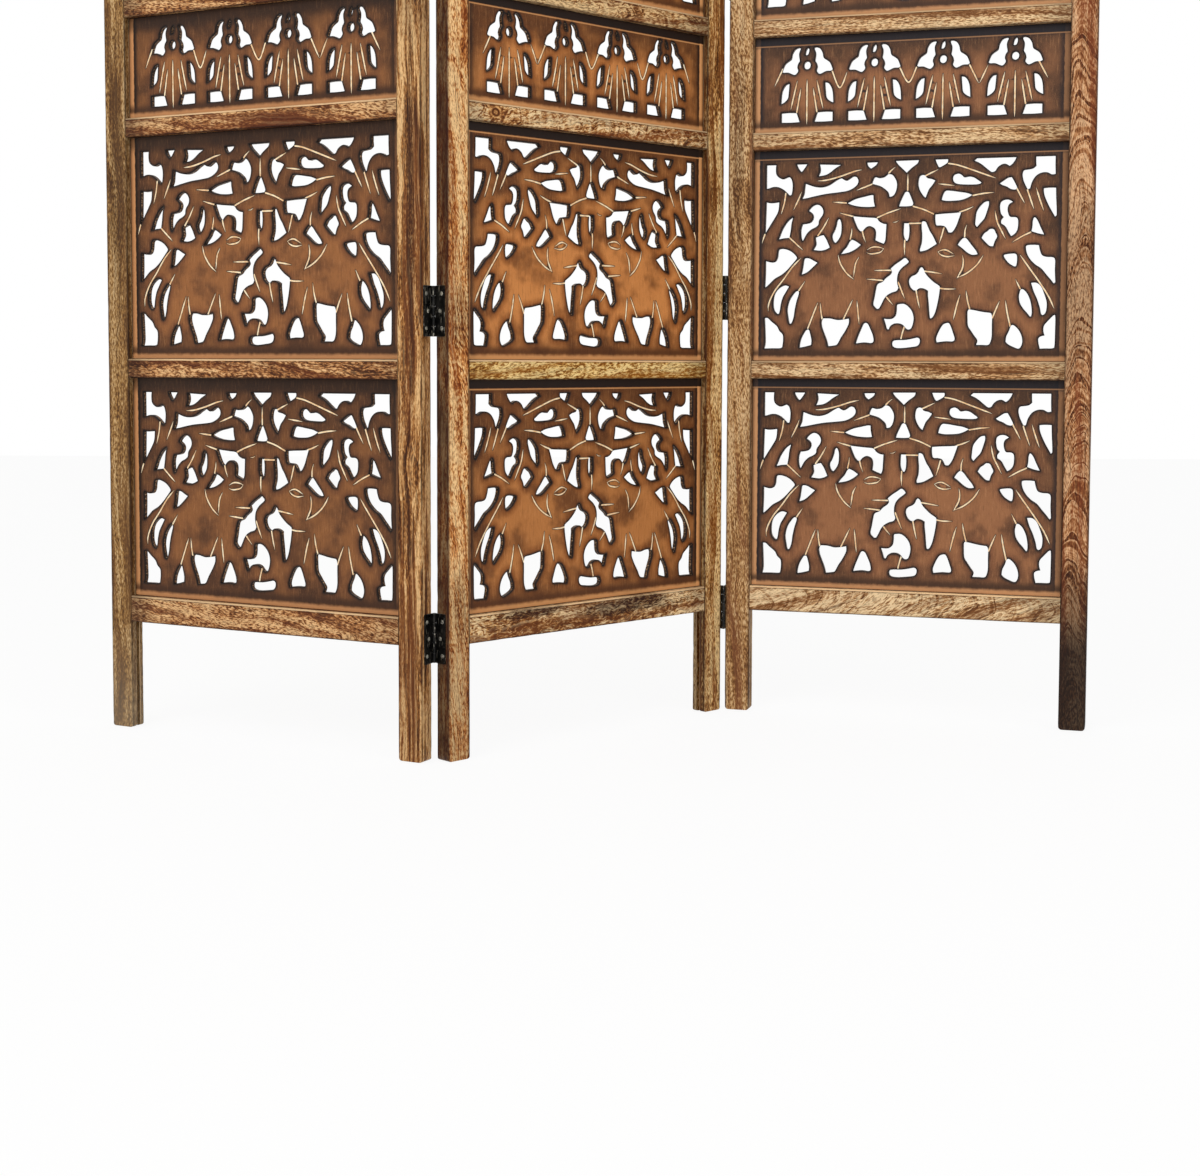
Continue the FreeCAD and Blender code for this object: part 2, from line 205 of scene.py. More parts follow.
def loftPlank(name, section, nearness, length, wide, toPanel, toGrain, seed, side, tone,
              foot=None, extra=()):
    # Rings of the section along the plank, closed at both ends.
    rings = max(1, round(length / plank["station"]))
    stations = [ring / rings * length for ring in range(rings + 1)]
    if foot is not None:
        stations = [foot * share for share in plank["footShares"]] + stations[1:]
    middle = sum(section, Vector((0, 0))) / len(section)
    widest = max(point.x for point in section)
    alongGrain, acrossGrain = plank["wearGrain"]
    points, grain, arrisMark, faces = [], [], [], []
    for along in stations:
        inset = 0.0
        if foot is not None and along < foot:
            inset = foot - math.sqrt(foot ** 2 - (foot - along) ** 2)
        for point, near in zip(section, nearness):
            flat = Vector((min(max(point.x, inset), widest - inset), point.y))
            if near:
                chip = noise.noise(Vector((along * alongGrain, point.x * acrossGrain,
                                           seed * 3.1 + point.y * acrossGrain)))
                flat += (middle - flat).normalized() * max(0.0, chip) ** 1.5 * plank["wear"]
            points.append(toPanel(flat, along))
            grain.append(toGrain(flat, along))
            arrisMark.append(near)
    count = len(section)
    for start in range(0, (len(stations) - 1) * count, count):
        for i in range(count):
            j = (i + 1) % count
            faces.append((start + i, start + j, start + count + j, start + count + i))
    faces += [tuple(range(count)), tuple(range(len(points) - count, len(points)))]
    for low, high in extra:  # stub tenons, each a closed block
        start = len(points)
        for corner in range(8):
            point = Vector((high[k] if corner >> k & 1 else low[k] for k in range(3)))
            points.append(point)
            grain.append((point.x, point.z, point.y))
            arrisMark.append(0.0)
        for loop in ((0, 1, 3, 2), (4, 5, 7, 6), (0, 1, 5, 4), (2, 3, 7, 6), (0, 2, 6, 4), (1, 3, 7, 5)):
            faces.append(tuple(start + corner for corner in loop))
    mesh = meshFrom(name, [panelAt[side] @ point for point in points], faces, {
        "grain": grain, "arrisMark": arrisMark, "plankSeed": [seed] * len(points),
        "plankTone": [tone] * len(points), "plankHalf": [wide / 2] * len(points),
    })
    return pieceFrom(name, facedOut(mesh), plank["sharpAngle"])


def makeStile(side, which, seed):
    wide, deep = screen["stileWidth"], screen["thickness"]
    lip, arris = plank["lip"], plank["arris"]
    floor = wide - screen["grooveDepth"]
    front, back = screen["frontLip"], screen["frontLip"] + screen["grooveWidth"]
    section, nearness = roundedSection([
        (0, 0, arris), (wide, 0, arris), (wide, front, lip, lipMark), (floor, front, 0),
        (floor, back, 0), (wide, back, lip, lipMark), (wide, deep, arris), (0, deep, arris),
    ])
    onRight = which == "right"
    if onRight:
        section = [Vector((wide - point.x, point.y)) for point in section]
    left = screen["panelWidth"] - wide if onRight else 0.0
    return loftPlank(
        f"{side}_panel_{which}_stile_wood", section, nearness, totalHeight, wide,
        lambda point, along: Vector((left + point.x, point.y, along)),
        lambda point, along: (along, point.x - wide / 2, point.y),
        seed, side, plank["stileTones"][side][onRight], foot=plank["footRound"],
    )


def makeRail(side, index, seed):
    low, high = railLevels[index]
    deep, groove = screen["thickness"], screen["grooveDepth"]
    front, back = screen["frontLip"], screen["frontLip"] + screen["grooveWidth"]
    lip, arris = plank["lip"], plank["arris"]
    corners = [(0, 0, arris)]
    if index > 0:
        corners += [(front, 0, lip), (front, groove, 0), (back, groove, 0), (back, 0, lip)]
    corners += [(deep, 0, arris), (deep, high, arris)]
    if index < topIndex:
        corners += [(back, high, lip), (back, high - groove, 0), (front, high - groove, 0),
                    (front, high, lip)]
    # the top front arris: a pale line, worn and a painted highlight, above a dark line
    corners += [(0, high, arris, paleWearAndHighlightMark)]
    section, nearness = roundedSection(corners)
    bottom = low + (groove if index > 0 else 0)
    top = low + high - (groove if index < topIndex else 0)
    slack, stub = plank["tenonSlack"], screen["boardOverlap"]
    left, right = screen["stileWidth"], screen["panelWidth"] - screen["stileWidth"]
    tenons = [((start, front + slack, bottom), (end, back - slack, top))
              for start, end in ((left - stub, left), (right, right + stub))]
    return loftPlank(
        f"{side}_panel_{railNames[index]}_wood", section, nearness, openingWidth, high,
        lambda point, along: Vector((left + along, point.x, low + point.y)),
        lambda point, along: (along, point.y - high / 2, point.x),
        seed, side, plank["railTones"][side][index], extra=tenons,
    )


# Hundredths of the opening from its lower left corner, "c" where the line turns sharply.
# Semicolons part the shapes.
elephantCuts = """
4.3,93.6c 7.5,93.6c 7.4,91.5 7.6,89 8.6,87.4 9.8,86.8 11,87.4 11.8,87.7 12.6,86.6 13,84 12.9,81
12.6,79.2 12,79 11.2,80.2 9.8,82 8.2,83.1 6.6,83.2 5.2,82.6 4.3,82.4c; 14.3,93.6c 17.8,93.6c 17.2,92.2
16.4,90.6 16,90 15.4,90.6 14.6,92.4; 21.8,93.3c 28.9,92.8c 27,91.2 25.4,89.4 23.8,88.2 21.4,87.7c
22,89.6 22.1,91.4; 37.2,93.5c 40.7,93.6c 40.2,92.2 38.6,90.6c 37.6,91.8; 46.4,93.9c 53.8,94c 53.4,92.4
51.6,90.4 50,88.2c 48.6,90.2 47.2,92.2; 59,94c 63,94c 62.9,92.4 61.4,90.9 60.3,90.3 59.6,91.8;
71.2,92.9c 72,94c 84.3,94c 83.8,92.4 83,90.8 82.2,90c 81,91 79.8,90.8 78.6,89.6 77.8,87.8c 76.8,87.4
75.6,88.6 74,90.6 72.6,92; 90.3,94c 96.2,94c 96.2,90 96.3,85.8c 95.2,85.6 93.8,86.6 92,86.5 90.4,85.2
89.2,82.6 88.6,79.6c 87.9,79.2 87.2,81 86.5,83.4 86.2,86 86.6,87.8 88,88.2 89.4,88.6 90.4,89.8c 90.3,92;
17.2,84.4c 18.6,83.6 20.6,82.7 22.8,82.5 25,83.4 27.2,85.4 28.8,86.5 29.6,85.9 30.6,85.3 31.6,86
32.8,87.1 33.9,86.8 34.5,85.2 34.2,83.4 33,81.8 31,80.5 28,79.9 24,79.3 20.6,78.4 18,77.6 16.1,77.2c
16.8,79.6 17,82; 38.9,83.5c 39.3,85.4 39.9,86.6 41.2,86.1 42.8,86.5 44,87.9c 45.2,87.6 46.2,86 46.9,83.6
46.8,80.8 46.2,78.4 45.4,77.4 44.5,77.2c 44.2,79.2 43.2,80.8 41.8,82.2 40.2,83; 54,86 54.8,87 55.8,86.8
56.4,85.6 58,85 59.1,84.2c 58.2,82.2 57.2,80.4 56.6,78.4 56.1,76.4c 55.2,77.6 54.2,80 53.7,82.8; 64.6,85
65,86.6 66.4,87.2 67.4,86.4 68.2,85.4 69.8,85.7 71.2,85.2 72.6,83.8 73.5,82.7 72.4,82 69,82 66.2,82.4
65,83.4; 79.2,82.2c 80.4,83.4 81.8,84.7 82.9,84.9c 83.8,82.6 84.6,80.2c 84.2,79.2 82.8,79.4 81.4,80.6
80,81.4; 49.6,79.3 50.6,79.3 51.4,77 52.2,73.8 51.8,72.8c 50,72.6 47.6,72.7c 48,74.6 48.8,77.2; 31,74.8c
33.6,76.6 36.4,77.6 38.6,78.3 39.4,78.2c 39.5,75.8 39.9,72.9c 38,72.7 35,73 32.6,73.8; 61.1,75.2c
61.6,77.8 62.4,79.4 64,79.4 66.6,78.8 69,78.2 70.8,77.2c 69.4,76 67.4,75 65,74.7 62.8,74.7; 4.3,76c
5.6,75.6 7.2,75.7 8.6,76c 8.5,73.4 8.2,71.2 7.4,69 6.2,66.2 5,63.4 4,61c 4.1,66; 92.8,79.5c 94.6,79.7
96.5,79.6c 96.6,75 96.8,70 96.8,67 96.4,66.4c 95.6,68.4 94.4,71.6 93.2,75.6 92.8,78; 18.4,71.6c
19.3,73.2 20.6,74.3 21.8,74.1 22.8,72.8 23.2,71 22.9,69.2 22,67.4 21.7,66.2 21.6,64.8 20.6,63.6
19.2,62.6 17.9,60.8 17,58.6 16.5,57.3 16,59 15.9,62.6 16.4,65.2c 18.6,65.7 19.6,66.8 20,68.6 19.6,70.2;
79.4,71.8 79.7,73.6 80.8,74.6 82.2,74.6 83.4,73.6c 82.2,72.4 81.8,70.6 82,68.4 82.6,66.8 84.2,66.6
85,65.6 85.1,62.8 84.8,60.4 84,58.8 83,57.9c 82.2,59.8 81.2,62.4 79.9,63.8c 79.8,65.2 80.6,66.8c
79.8,68.2 79.5,70; 75.9,74.2c 74.6,73.8 73.2,71.8 72.2,69.4 71.9,66.4 71.8,63.6 72.4,62.4c 73.2,63.8
74.6,66.2 75.4,69.4 76,72.6; 28.4,67.4 29,66 29.2,63.4 29,60 28.2,57.6 27.2,56.2 26.4,57.6 26.2,59.8
26.9,61.8 27.5,64.4 27.8,66.6; 13.3,68.6c 12.8,66 12.5,62.4 12.1,58.9c 10.2,58.7 8.4,58.2c 8.9,59.8
9.8,63 11.2,66.2 12.4,67.9; 90.1,66.4 91,65 92,61.8 93.1,58.4c 91.4,58.9 89.2,60c 89.5,62.4 89.6,65;
32.8,68.6c 35,68.2 38,67.8 40.4,67.4 41.4,65.8 42.6,64.8 43.7,64.6c 43.6,61 43.4,57 42.9,55.4c 41.2,56.4
40.1,57.2c 40.3,59.6 40.2,61.6 39.6,63 38.2,63.8 37,63 36.2,61.6c 35.4,61.4 34.4,63 33.6,65.6;
59.2,68.6c 62,68.9 65,69.1 67.4,69.4c 66.6,66 65.8,62.8 64.6,60.2 63.4,60.2c 62.8,62 62.2,63 61,63.4
59.6,63.6 59.2,66; 49.3,64.8c 50.9,64.8c 51.1,61.6 50.9,58 50.3,56.5 49.6,57.6 49.2,60; 55,65.4
56.2,65.2 56.8,63.4 57.6,60.8 58.4,59 59.3,56.4 59.8,54.9c 58.2,53.4 56.4,52 54.6,51.5c 54.4,52.4
55,55.6 55.1,59.4 54.9,62.8; 23.3,60c 24.2,58 24.9,55.8 25.4,54c 24,53 22.4,52.6 20,53c 20.9,55.4
20.8,57.4 20.7,58.8c 22,59.6; 76.4,61.4 77.6,61.2 78.2,59.6 78.7,57.8 78,55.8 77.5,53.4c 76.4,53.6
75.2,55.2 73.8,57.4c 74.6,59.4 75.6,60.4; 32.5,57.6c 34,56.6 35.5,55c 34,53.2 31.8,51.6 29,50.8c
29.8,52.4 31,54.4 31.8,56.6; 68.2,57.5 69.2,57 70.6,54.4 72.2,51.4 72.7,49.8c 71,49.6 69.4,50.8
67.8,52.8 66.4,54.4c 67.2,56.2; 8.7,53.4 10,53.7 11.8,53 13.4,51.6 14.6,49.6 14.4,48.6 13,46.2 11.4,43.6
9.6,41.4 7.4,39.6 5.8,37.4 4.6,35.8 4,35.4c 4.2,42 4.2,48c 5.4,47.5 6.6,47.3 7.6,47.9 8.2,49.6 8.4,52;
87.9,53.6 90,53.8 91.6,53.6c 91.9,51.4 92.6,49 94,48.2 95.8,48 96.6,46.8 96.6,42 96.8,36.6c 96.4,36
95.4,37.8 94,40.2 92.4,43 90.6,44.8 89,47.2 88,49.8 87.6,52.4; 17.2,49 18.8,48.9 20.2,47.8 21.4,46.9c
19.8,44.6 18,42.4 16.1,41.3c 16.5,43.6 16.8,46.6; 80.8,49 81.8,49.7 84.2,49.9 84.9,48.8 84.9,45.6
84.5,44 83.4,44.6 82,46.2; 49.6,48.6 50.4,48 51,46.8 50.4,45.8 49,44.2 47.9,42.2 47.4,39.8 47.4,37
47.8,34.6c 47.2,33.2 45.6,32.4 44.2,31.2 43.2,29.4 42.4,27 41.6,25 41,24.8 40,26.2 39.7,27.4 40.1,30.4
40.5,33.8 41,36.4 42.6,37.6 43.6,39.2 45.2,41 45.6,42.2c 45.2,43.8c 46.6,45.6 48.2,47.2; 55,44.2
55.7,43.4 56.3,41.4 57.4,39.4 59,37.2 60.6,35.6 61,34.6 60.7,30.4 60.2,26.4 59.6,23 58.8,20.8 58,20.4
57.7,23.4 57.5,27 57.2,31 57.2,33.2c 56,34.2 54.6,34.4 53.6,33.4c 52.8,33.4 51.8,34.6 51.2,36.6
51.2,38.6 52,40 53.2,40.8 54,42 54.4,43.4; 12.1,35.7c 10.8,36.3 9.4,35.6 8,33.8 7.2,31.6 6.9,28.6 7,25.6
7.6,23.6 8.6,22.6 9.1,24.2 9.4,27.2 10,30.4 11,33; 15.4,33.2 14.6,33.6 13.4,31.8 12.2,28.8 11.6,25
11.8,21.6 12.3,18.2 13,18.3 13.7,21 14.1,25 14.7,29 15.3,31.8; 89.4,36.4c 91,36.4 92.4,34.8 93.4,31.6
94.2,28 94.3,25.2 94,22.8 93.2,21.6 92.6,22.2 92.2,25 91.3,29 90.2,32.6; 86.2,33.4 87,33.4 88.2,31.6
89.2,28.4 89.7,24.6 89.7,21.8 89.3,20.9 88.2,22.8 87,24.8 86,27.4 85.7,30.2 85.9,32; 4,20.7c 5,20.8
6.4,19 8.2,16.8 9,14.6 10.1,12.9 10.3,10.6 10.1,7.6 9.6,6.4 6.6,6.3 3.9,6.2c 4.3,9 4.2,15; 96.6,21.6
97,20.4 97,14 96.9,7.6 96.4,6.4 94,6.3 92.4,6.2c 92,8.6 91.9,10.8 92.6,11.8 93.8,12.2c 93.4,14.4
93.6,16.8 94.8,19; 17.9,15 18.8,15.1 19.3,13 19.7,10.2 19.6,7.9c 17.6,7.1 15.7,6.6c 15.9,9 16.4,11.4
17.2,13.6; 23.4,20.5c 25.8,20.4 28,19.7 30,19.9 31.9,20.4c 31.9,18 30.8,14.6 29.4,11.4 28.2,8.2 27,7.6
25.2,7.3c 24.7,10.2 23.9,13.2 23.1,16.4 22.9,19; 36.8,18 38,17.9 39,15.2 39.8,12.2 40,9.6 39.2,8.8
37,9.1 34.2,8.6c 34.8,11.4 35.8,15; 47.4,26.6 48.4,27.1 49.8,27 51.2,25.6 52.3,23.4 52.8,20.6 52.6,17.8
52,15.6 51,15.1 50.2,15.8 49.4,17.2 48.2,18 46.6,17.9 45.4,16.8 44.8,15.2 44.2,15.6 43.8,17.6 43.2,20.2c
44.6,20 46,20.3 47,21.8 47.3,24.2; 46.2,9.6 47.4,10.1 50,10.2 52.4,10.8 54,11.3 54.8,10.6 54.8,8.8
54,7.4 51.6,6.8 48.6,6.4 46.6,6.8 46,8; 62.6,17.8 63.9,18.1 64.6,16.6 65.3,13.8 65.9,10.8 65.4,9.6
63,9.6 60.2,9.1c 60,11 60.8,14.2 61.8,16.8; 70.2,24.4c 71.8,24 74.4,23.2 77,22.7c 77.5,21.4 77.5,17
77.5,12 77.1,9.2 76.4,7.9 74.6,7.9 72.6,7.9c 73,10 72,12.2 70.9,14.6 70,16.8 69.8,20.4 69.8,23.6;
83.7,17.1 84.6,16.6 85.8,14.8 86.7,12.2 87,9.4 86.6,7.2 85.8,6.2 84.2,7 82.6,8.2 81.8,9.4c 82,11.8
82.8,14.4 83.2,16.2
"""

# Engraved lines of the elephant board, each drawn through its points.
elephantLines = """
9.3,70.2 10.3,75.2 10.8,80; 13.4,72.1 15.1,77.2 16,80.6; 21.3,85.5 24.3,85.8 28.6,87.3 33,89.4
35.6,90.2; 34,80.6 39,83.3; 26.2,75.4 30.7,74.8; 28.6,70.2 30.5,69.4 33,68.4; 25,68 23.3,63.4 21.5,59.7;
32.6,63 32.5,60.5 32.1,57.8; 12.2,58.9 16.6,53; 4,60.8 3.4,58.5 3,56.5; 44.3,88.2 45.2,89.6 46.4,91;
50.4,87.6 50.4,80; 55.8,86.4 57.5,87.6 60,89.3; 59.9,82.7 65.2,81.7; 40.8,67.6 44,69.6 48.2,71.6;
52.2,72.5 55.5,71 58.7,68.8; 45.8,65.3 46.8,65.4 47.6,66.1; 51,64.6 54.7,64.6; 49.7,56.8 49.6,54
49.7,50; 36,61.6 36.4,59 37.1,56.2; 62,62.2 61.4,58.8 60.6,55; 37.6,52.6 39.2,53.8 41,53.9 43,53.1;
37.5,51.3 39,50.7 41.8,51.4 43,53.1; 60.2,51.2 61.6,52 63,51.9 65.3,50; 60.2,51.2 61.2,49.8 63.2,48.9
65.5,49.3; 63.2,91.9 66.5,90.9 72.8,87.5 78,84.6; 71,76.9 74.2,77.7 77.5,78.1; 66.9,69.4 69,70.4
71.2,71.8; 84.5,79.8 87,72.8; 87.8,78.9 89.9,70; 90.5,79.8 91.4,75.5 92.9,69.2; 77.9,69.8 78.7,64.5
80,60.5 81.3,56.7; 69.2,63.4 68.7,61 68.6,57.9; 89,59.5 86.5,57.8 83.4,55.1; 16.1,49.3 13.2,45 10.2,39
7.7,34.4 6.1,30.2 5.3,26.6 5.3,24; 15.4,33.8 17.4,38.2; 21.7,28 20.4,23 18.5,15.8; 22.5,28 22.8,23.5
23.2,20.2; 33.1,29.2 31.6,24.5 30.2,20.2; 34.5,28.7 34.9,23.5 35.3,17.7; 28.2,50.4 29,46.3 31,41.9
33.4,38.8; 35,49.3 33.9,46 33.3,40; 40,42.9 45.4,42.9; 37.5,38.9 40,38.6 42.6,38.2; 47.8,37.2 48.8,33.5
49.9,29.5; 44.1,30.3 45,28.6 46.2,26.6; 53.5,33.4 54,29.6 54.7,25; 56,42.3 58.5,41.8 61.6,41; 61,34.3
63,33.9 66,33.9; 49.9,16.4 49.3,13.5 48.9,10.9; 67.4,31.2 66.4,26 65.4,19.6; 68,49.5 68.3,46.3 67.9,43
66.3,38.7; 74.5,49.4 72.7,45.2 69.9,41.6 66.8,39.2; 69.3,33 69.8,28.5 70.5,24.7; 79.8,28.2 78.6,24
77.6,20.2; 81.6,28.4 82.2,23 83.2,16.5; 84.6,38.1 86.1,33.7; 85.8,49.4 88.4,44 91.9,36.8 94.8,30.2
96.6,24.5
"""

# One bird's cut-outs and lines, out from its middle line; the other half mirrors them.
birdMiddles = [17.2, 39.0, 60.8, 83.2]
birdHalfCuts = """
2.2,87.5 2.8,88.5 4,87 4.9,82.5 5.3,77 6.2,74.8 7.4,71.5 8.3,64.5c 7.8,63.2 6.2,63 4.8,61 3.9,60.5 3,64
3.3,68 3,72 2.5,74.5 2.7,79 2.7,83; 5.8,51.5c 6.9,50.5 7.9,46 8.4,40 8.6,30c 7.4,32 6.3,36 6,43;
3.4,20.5c 6,20.9 8.4,20.5c 8.4,10.7c 5.4,10.4 2.4,10.7c
"""
birdMiddleCuts = """
-0.7,80.5c 0.1,80.7 0.5,83 0.6,86 0.3,88.5c -0.4,85.8; 1.1,69.8 0.78,72.8 0,74 -0.78,72.8 -1.1,69.8
-0.78,66.8 0,65.6 0.78,66.8
"""
birdHalfLines = """
2,46 3.3,21; 3.2,54 5.3,24
"""
birdMiddleLines = """
0,55 0,8
"""
birdBandLines = """
9.2,67 6.5,49; 25.4,62.5 27.9,45 30.2,61; 47.2,62.5 50,47.5 52.4,62.5; 69.1,62.5 71.9,44; 72.3,44
74.8,61.5; 90.2,64.5 93.2,46
"""


board = {
    "step": 0.0018,  # spacing of the points along a cut
    "rimStep": 0.008,
    "grid": 0.0042,  # spacing of the points across the face
    "backGrid": 0.011,
    "gridShift": 0.12,  # how far a point of the grid strays, as a share of the spacing
    "softEdge": 0.0007,  # width of the sanded edge of a cut
    "softDrop": 0.0004,
    "grooveHalf": 0.0013,  # half the width of an engraved line
    "grooveDrop": 0.0011,
    "taperReach": 0.009,  # over which a line narrows to its free end
    "taperNarrow": 0.0009,
    "freeEnd": 0.0025,  # a line's end is free when it lies this far from every cut
    "lineClear": 0.0006,  # least distance from a cut to a line's points
    "gridClear": (0.0018, 0.0022),  # the same for the grid, from a cut and from a line
    "backClear": 0.003,
    "parallax": (-0.25, -0.17),  # hundredths; the readings were taken on the frame's front
    "sharpAngle": 40,
}


def readShapes(text):
    # Each shape as its points and the numbers of its sharp points.
    for shape in text.split(";"):
        words = shape.split()
        points = [tuple(map(float, word.rstrip("c").split(","))) for word in words]
        yield points, [i for i, word in enumerate(words) if word.endswith("c")]


def smoothRun(points, closed):
    # A Catmull-Rom run through the points, about one point to each step.
    count = len(points)
    run = []
    for i in range(count if closed else count - 1):
        if closed:
            a, b, c, d = (points[(i + k) % count] for k in (-1, 0, 1, 2))
        else:
            a, b = points[max(i - 1, 0)], points[i]
            c, d = points[i + 1], points[min(i + 2, count - 1)]
        pieces = max(1, round((c - b).length / board["step"]))
        for step in range(pieces):
            t = step / pieces
            run.append(0.5 * (
                2 * b + (c - a) * t + (2 * a - 5 * b + 4 * c - d) * t ** 2
                + (3 * b - a - 3 * c + d) * t ** 3
            ))
    if not closed:
        run.append(points[-1].copy())
    return run


def closedOutline(points, sharp):
    if not sharp:
        return smoothRun(points, True)
    outline = []
    for start, end in zip(sharp, sharp[1:] + sharp[:1]):
        steps = (end - start) % len(points) or len(points)
        side = [points[(start + i) % len(points)] for i in range(steps + 1)]
        outline += smoothRun(side, False)[:-1]
    return outline


def drawn(text, wide, high, closed, start=0.0, rise=0.0, hand=1):
    # The shapes of a text in metres. start and rise move them, and a hand of -1 mirrors them.
    runs = []
    for shape, sharp in readShapes(text):
        points = [Vector(((start + hand * u) * wide / 100, (v + rise) * high / 100)) for u, v in shape]
        runs.append(closedOutline(points, sharp) if closed else smoothRun(points, False))
    return runs


def insideShape(places, outline):
    # Even-odd test of many places against one outline.
    x, y = places[:, 0], places[:, 1]
    inside = np.zeros(len(places), dtype=bool)
    ring = np.array(outline)
    for (x0, y0), (x1, y1) in zip(ring, np.roll(ring, -1, axis=0)):
        crosses = (y0 > y) != (y1 > y)
        if crosses.any():
            at = (x1 - x0) * (y - y0) / ((y1 - y0) or 1e-12) + x0
            inside ^= crosses & (x < at)
    return inside


def treeOf(runs, closed, spacing=0.0003):
    # Search tree of places along the runs, and the number of each place's run.
    places, owners = [], []
    for number, run in enumerate(runs):
        pairs = zip(run, run[1:] + run[:1]) if closed else zip(run, run[1:])
        for a, b in pairs:
            pieces = max(1, math.ceil((b - a).length / spacing))
            places += [a.lerp(b, i / pieces) for i in range(pieces)]
        if not closed:
            places.append(run[-1])
        owners += [number] * (len(places) - len(owners))
    tree = kdtree.KDTree(len(places))
    for i, place in enumerate(places):
        tree.insert((place.x, place.y, 0), i)
    tree.balance()
    return tree, owners


def nearestOn(tree, place):
    # Number of the nearest place on the tree, and its distance.
    return tree.find((place[0], place[1], 0))[1:]


def gapTo(tree, place):
    return nearestOn(tree, place)[1]


def gridPlaces(wide, high, spacing, level):
    places = []
    reach = screen["boardOverlap"]
    rows = int((high + 2 * reach) / (spacing * 0.866))
    columns = int((wide + 2 * reach) / spacing)
    for row in range(1, rows):
        up = -reach + (high + 2 * reach) * row / rows
        for column in range(columns):
            across = -reach + (wide + 2 * reach) * (column + (0.25 if row % 2 else 0.75)) / columns
            strayed = [noise.noise(Vector((across * 700, up * 700, level + more)))
                       * spacing * board["gridShift"] for more in (0, 5.5)]
            places.append(Vector((across + strayed[0], up + strayed[1])))
    return places


def besideRun(run, closed, hand, far):
    # The run moved sideways, to its left or its right.
    moved = []
    for i, point in enumerate(run):
        if closed:
            ahead = run[(i + 1) % len(run)] - run[i - 1]
        else:
            ahead = run[min(i + 1, len(run) - 1)] - run[max(i - 1, 0)]
        moved.append(point + Vector((-ahead.y, ahead.x)).normalized() * hand * far)
    return moved


def triangulated(places, edges, cuts):
    # Triangles of the places outside the cuts. Also which place each vertex comes from.
    verts, _, faces, sources, *_ = geometry.delaunay_2d_cdt(places, edges, [], 0, 1e-7, True)
    middles = np.array([[sum(verts[i][k] for i in face) / 3 for k in (0, 1)] for face in faces])
    hollow = np.zeros(len(faces), dtype=bool)
    for outline in cuts:
        box = np.array(outline)
        near = np.all((middles >= box.min(0)) & (middles <= box.max(0)), axis=1)
        if near.any():
            spots = np.flatnonzero(near)
            hollow[spots] |= insideShape(middles[spots], outline)
    kept = [face for face, gone in zip(faces, hollow) if not gone]
    return verts, kept, sources


def boardShape(cuts, lines, wide, high):
    # Front, back and walls of a fret-cut board as points and triangles, with each
    # point's distance to the nearest cut and to the nearest engraved line.
    reach, soft, half = screen["boardOverlap"], board["softEdge"], board["grooveHalf"]
    corners = [Vector(corner) for corner in (
        (-reach, -reach), (wide + reach, -reach), (wide + reach, high + reach), (-reach, high + reach),
    )]
    rim = []
    for a, b in zip(corners, corners[1:] + corners[:1]):
        pieces = round((b - a).length / board["rimStep"])
        rim += [a.lerp(b, k / pieces) for k in range(pieces)]
    cutTree = treeOf(cuts, True)[0]
    lineTree, lineOwners = treeOf(lines, False)
    freeEnds = [[end for end in (run[0], run[-1]) if gapTo(cutTree, end) > board["freeEnd"]]
                for run in lines]
    places, edges = [], []

    def addRun(run, closed):
        start, count = len(places), len(run)
        places.extend(run)
        edges.extend((start + i, start + (i + 1) % count) for i in range(count if closed else count - 1))

    def addClear(found, fromCut, fromLine):
        places.extend(place for place in found
                      if gapTo(cutTree, place) > fromCut and gapTo(lineTree, place) > fromLine)

    for outline in [rim] + cuts:
        addRun(outline, True)
    for run in lines:
        kept = [point for point in run if gapTo(cutTree, point) > board["lineClear"]]
        if len(kept) > 1:
            addRun(kept, False)
        for hand in (-1, 1):
            addClear(besideRun(run, False, hand, half), board["lineClear"], half * 0.8)
    for outline in cuts:
        rings = [besideRun(outline, True, hand, soft) for hand in (1, -1)]
        addClear([point for pair in zip(*rings) for point in pair], soft * 0.85, half * 1.2)
    addClear(gridPlaces(wide, high, board["grid"], 1.3), *board["gridClear"])
    verts, faces, _ = triangulated(places, edges, cuts)
    used = sorted({i for face in faces for i in face})
    renumber = {old: new for new, old in enumerate(used)}
    front = [verts[i] for i in used]
    faces = [tuple(renumber[i] for i in face) for face in faces]

    # the free edges of the front run round its rim and its cuts, and the back starts from them
    pairs = {(face[i], face[(i + 1) % 3]): None for face in faces for i in range(3)}
    free = [(a, b) for a, b in pairs if (b, a) not in pairs]
    border = sorted({i for pair in free for i in pair})
    order = {old: new for new, old in enumerate(border)}
    backPlaces = [front[i] for i in border]
    backPlaces += [place for place in gridPlaces(wide, high, board["backGrid"], 4.7)
                   if gapTo(cutTree, place) > board["backClear"] and -reach < place.x < wide + reach]
    backVerts, backFaces, sources = triangulated(
        backPlaces, [(order[a], order[b]) for a, b in free], cuts)
    match = {source: i for i, found in enumerate(sources) for source in found}
    used = sorted({i for face in backFaces for i in face} | {match[i] for i in range(len(border))})
    renumber = {old: len(front) + new for new, old in enumerate(used)}

    points, cutGap, lineGap = [], [], []
    for place in front:
        cutAway = gapTo(cutTree, place)
        nearest, lineAway = nearestOn(lineTree, place)
        toEnd = min(((end - place).length for end in freeEnds[lineOwners[nearest]]), default=1.0)
        lineAway += board["taperNarrow"] * max(0.0, 1 - toEnd / board["taperReach"])
        sunk = max(board["grooveDrop"] * max(0.0, 1 - lineAway / half),
                   board["softDrop"] * max(0.0, 1 - cutAway / soft))
        points.append((place.x, sunk, place.y))
        cutGap.append(cutAway)
        lineGap.append(lineAway)
    for place in (backVerts[i] for i in used):
        points.append((place.x, screen["boardThickness"], place.y))
        cutGap.append(gapTo(cutTree, place))
        lineGap.append(0.05)
    triangles = faces + [tuple(renumber[i] for i in reversed(face)) for face in backFaces]
    back = [renumber[match[i]] for i in range(len(border))]
    triangles += [(b, a, back[order[a]], back[order[b]]) for a, b in free]
    return np.array(points), triangles, np.array(cutGap), np.array(lineGap)


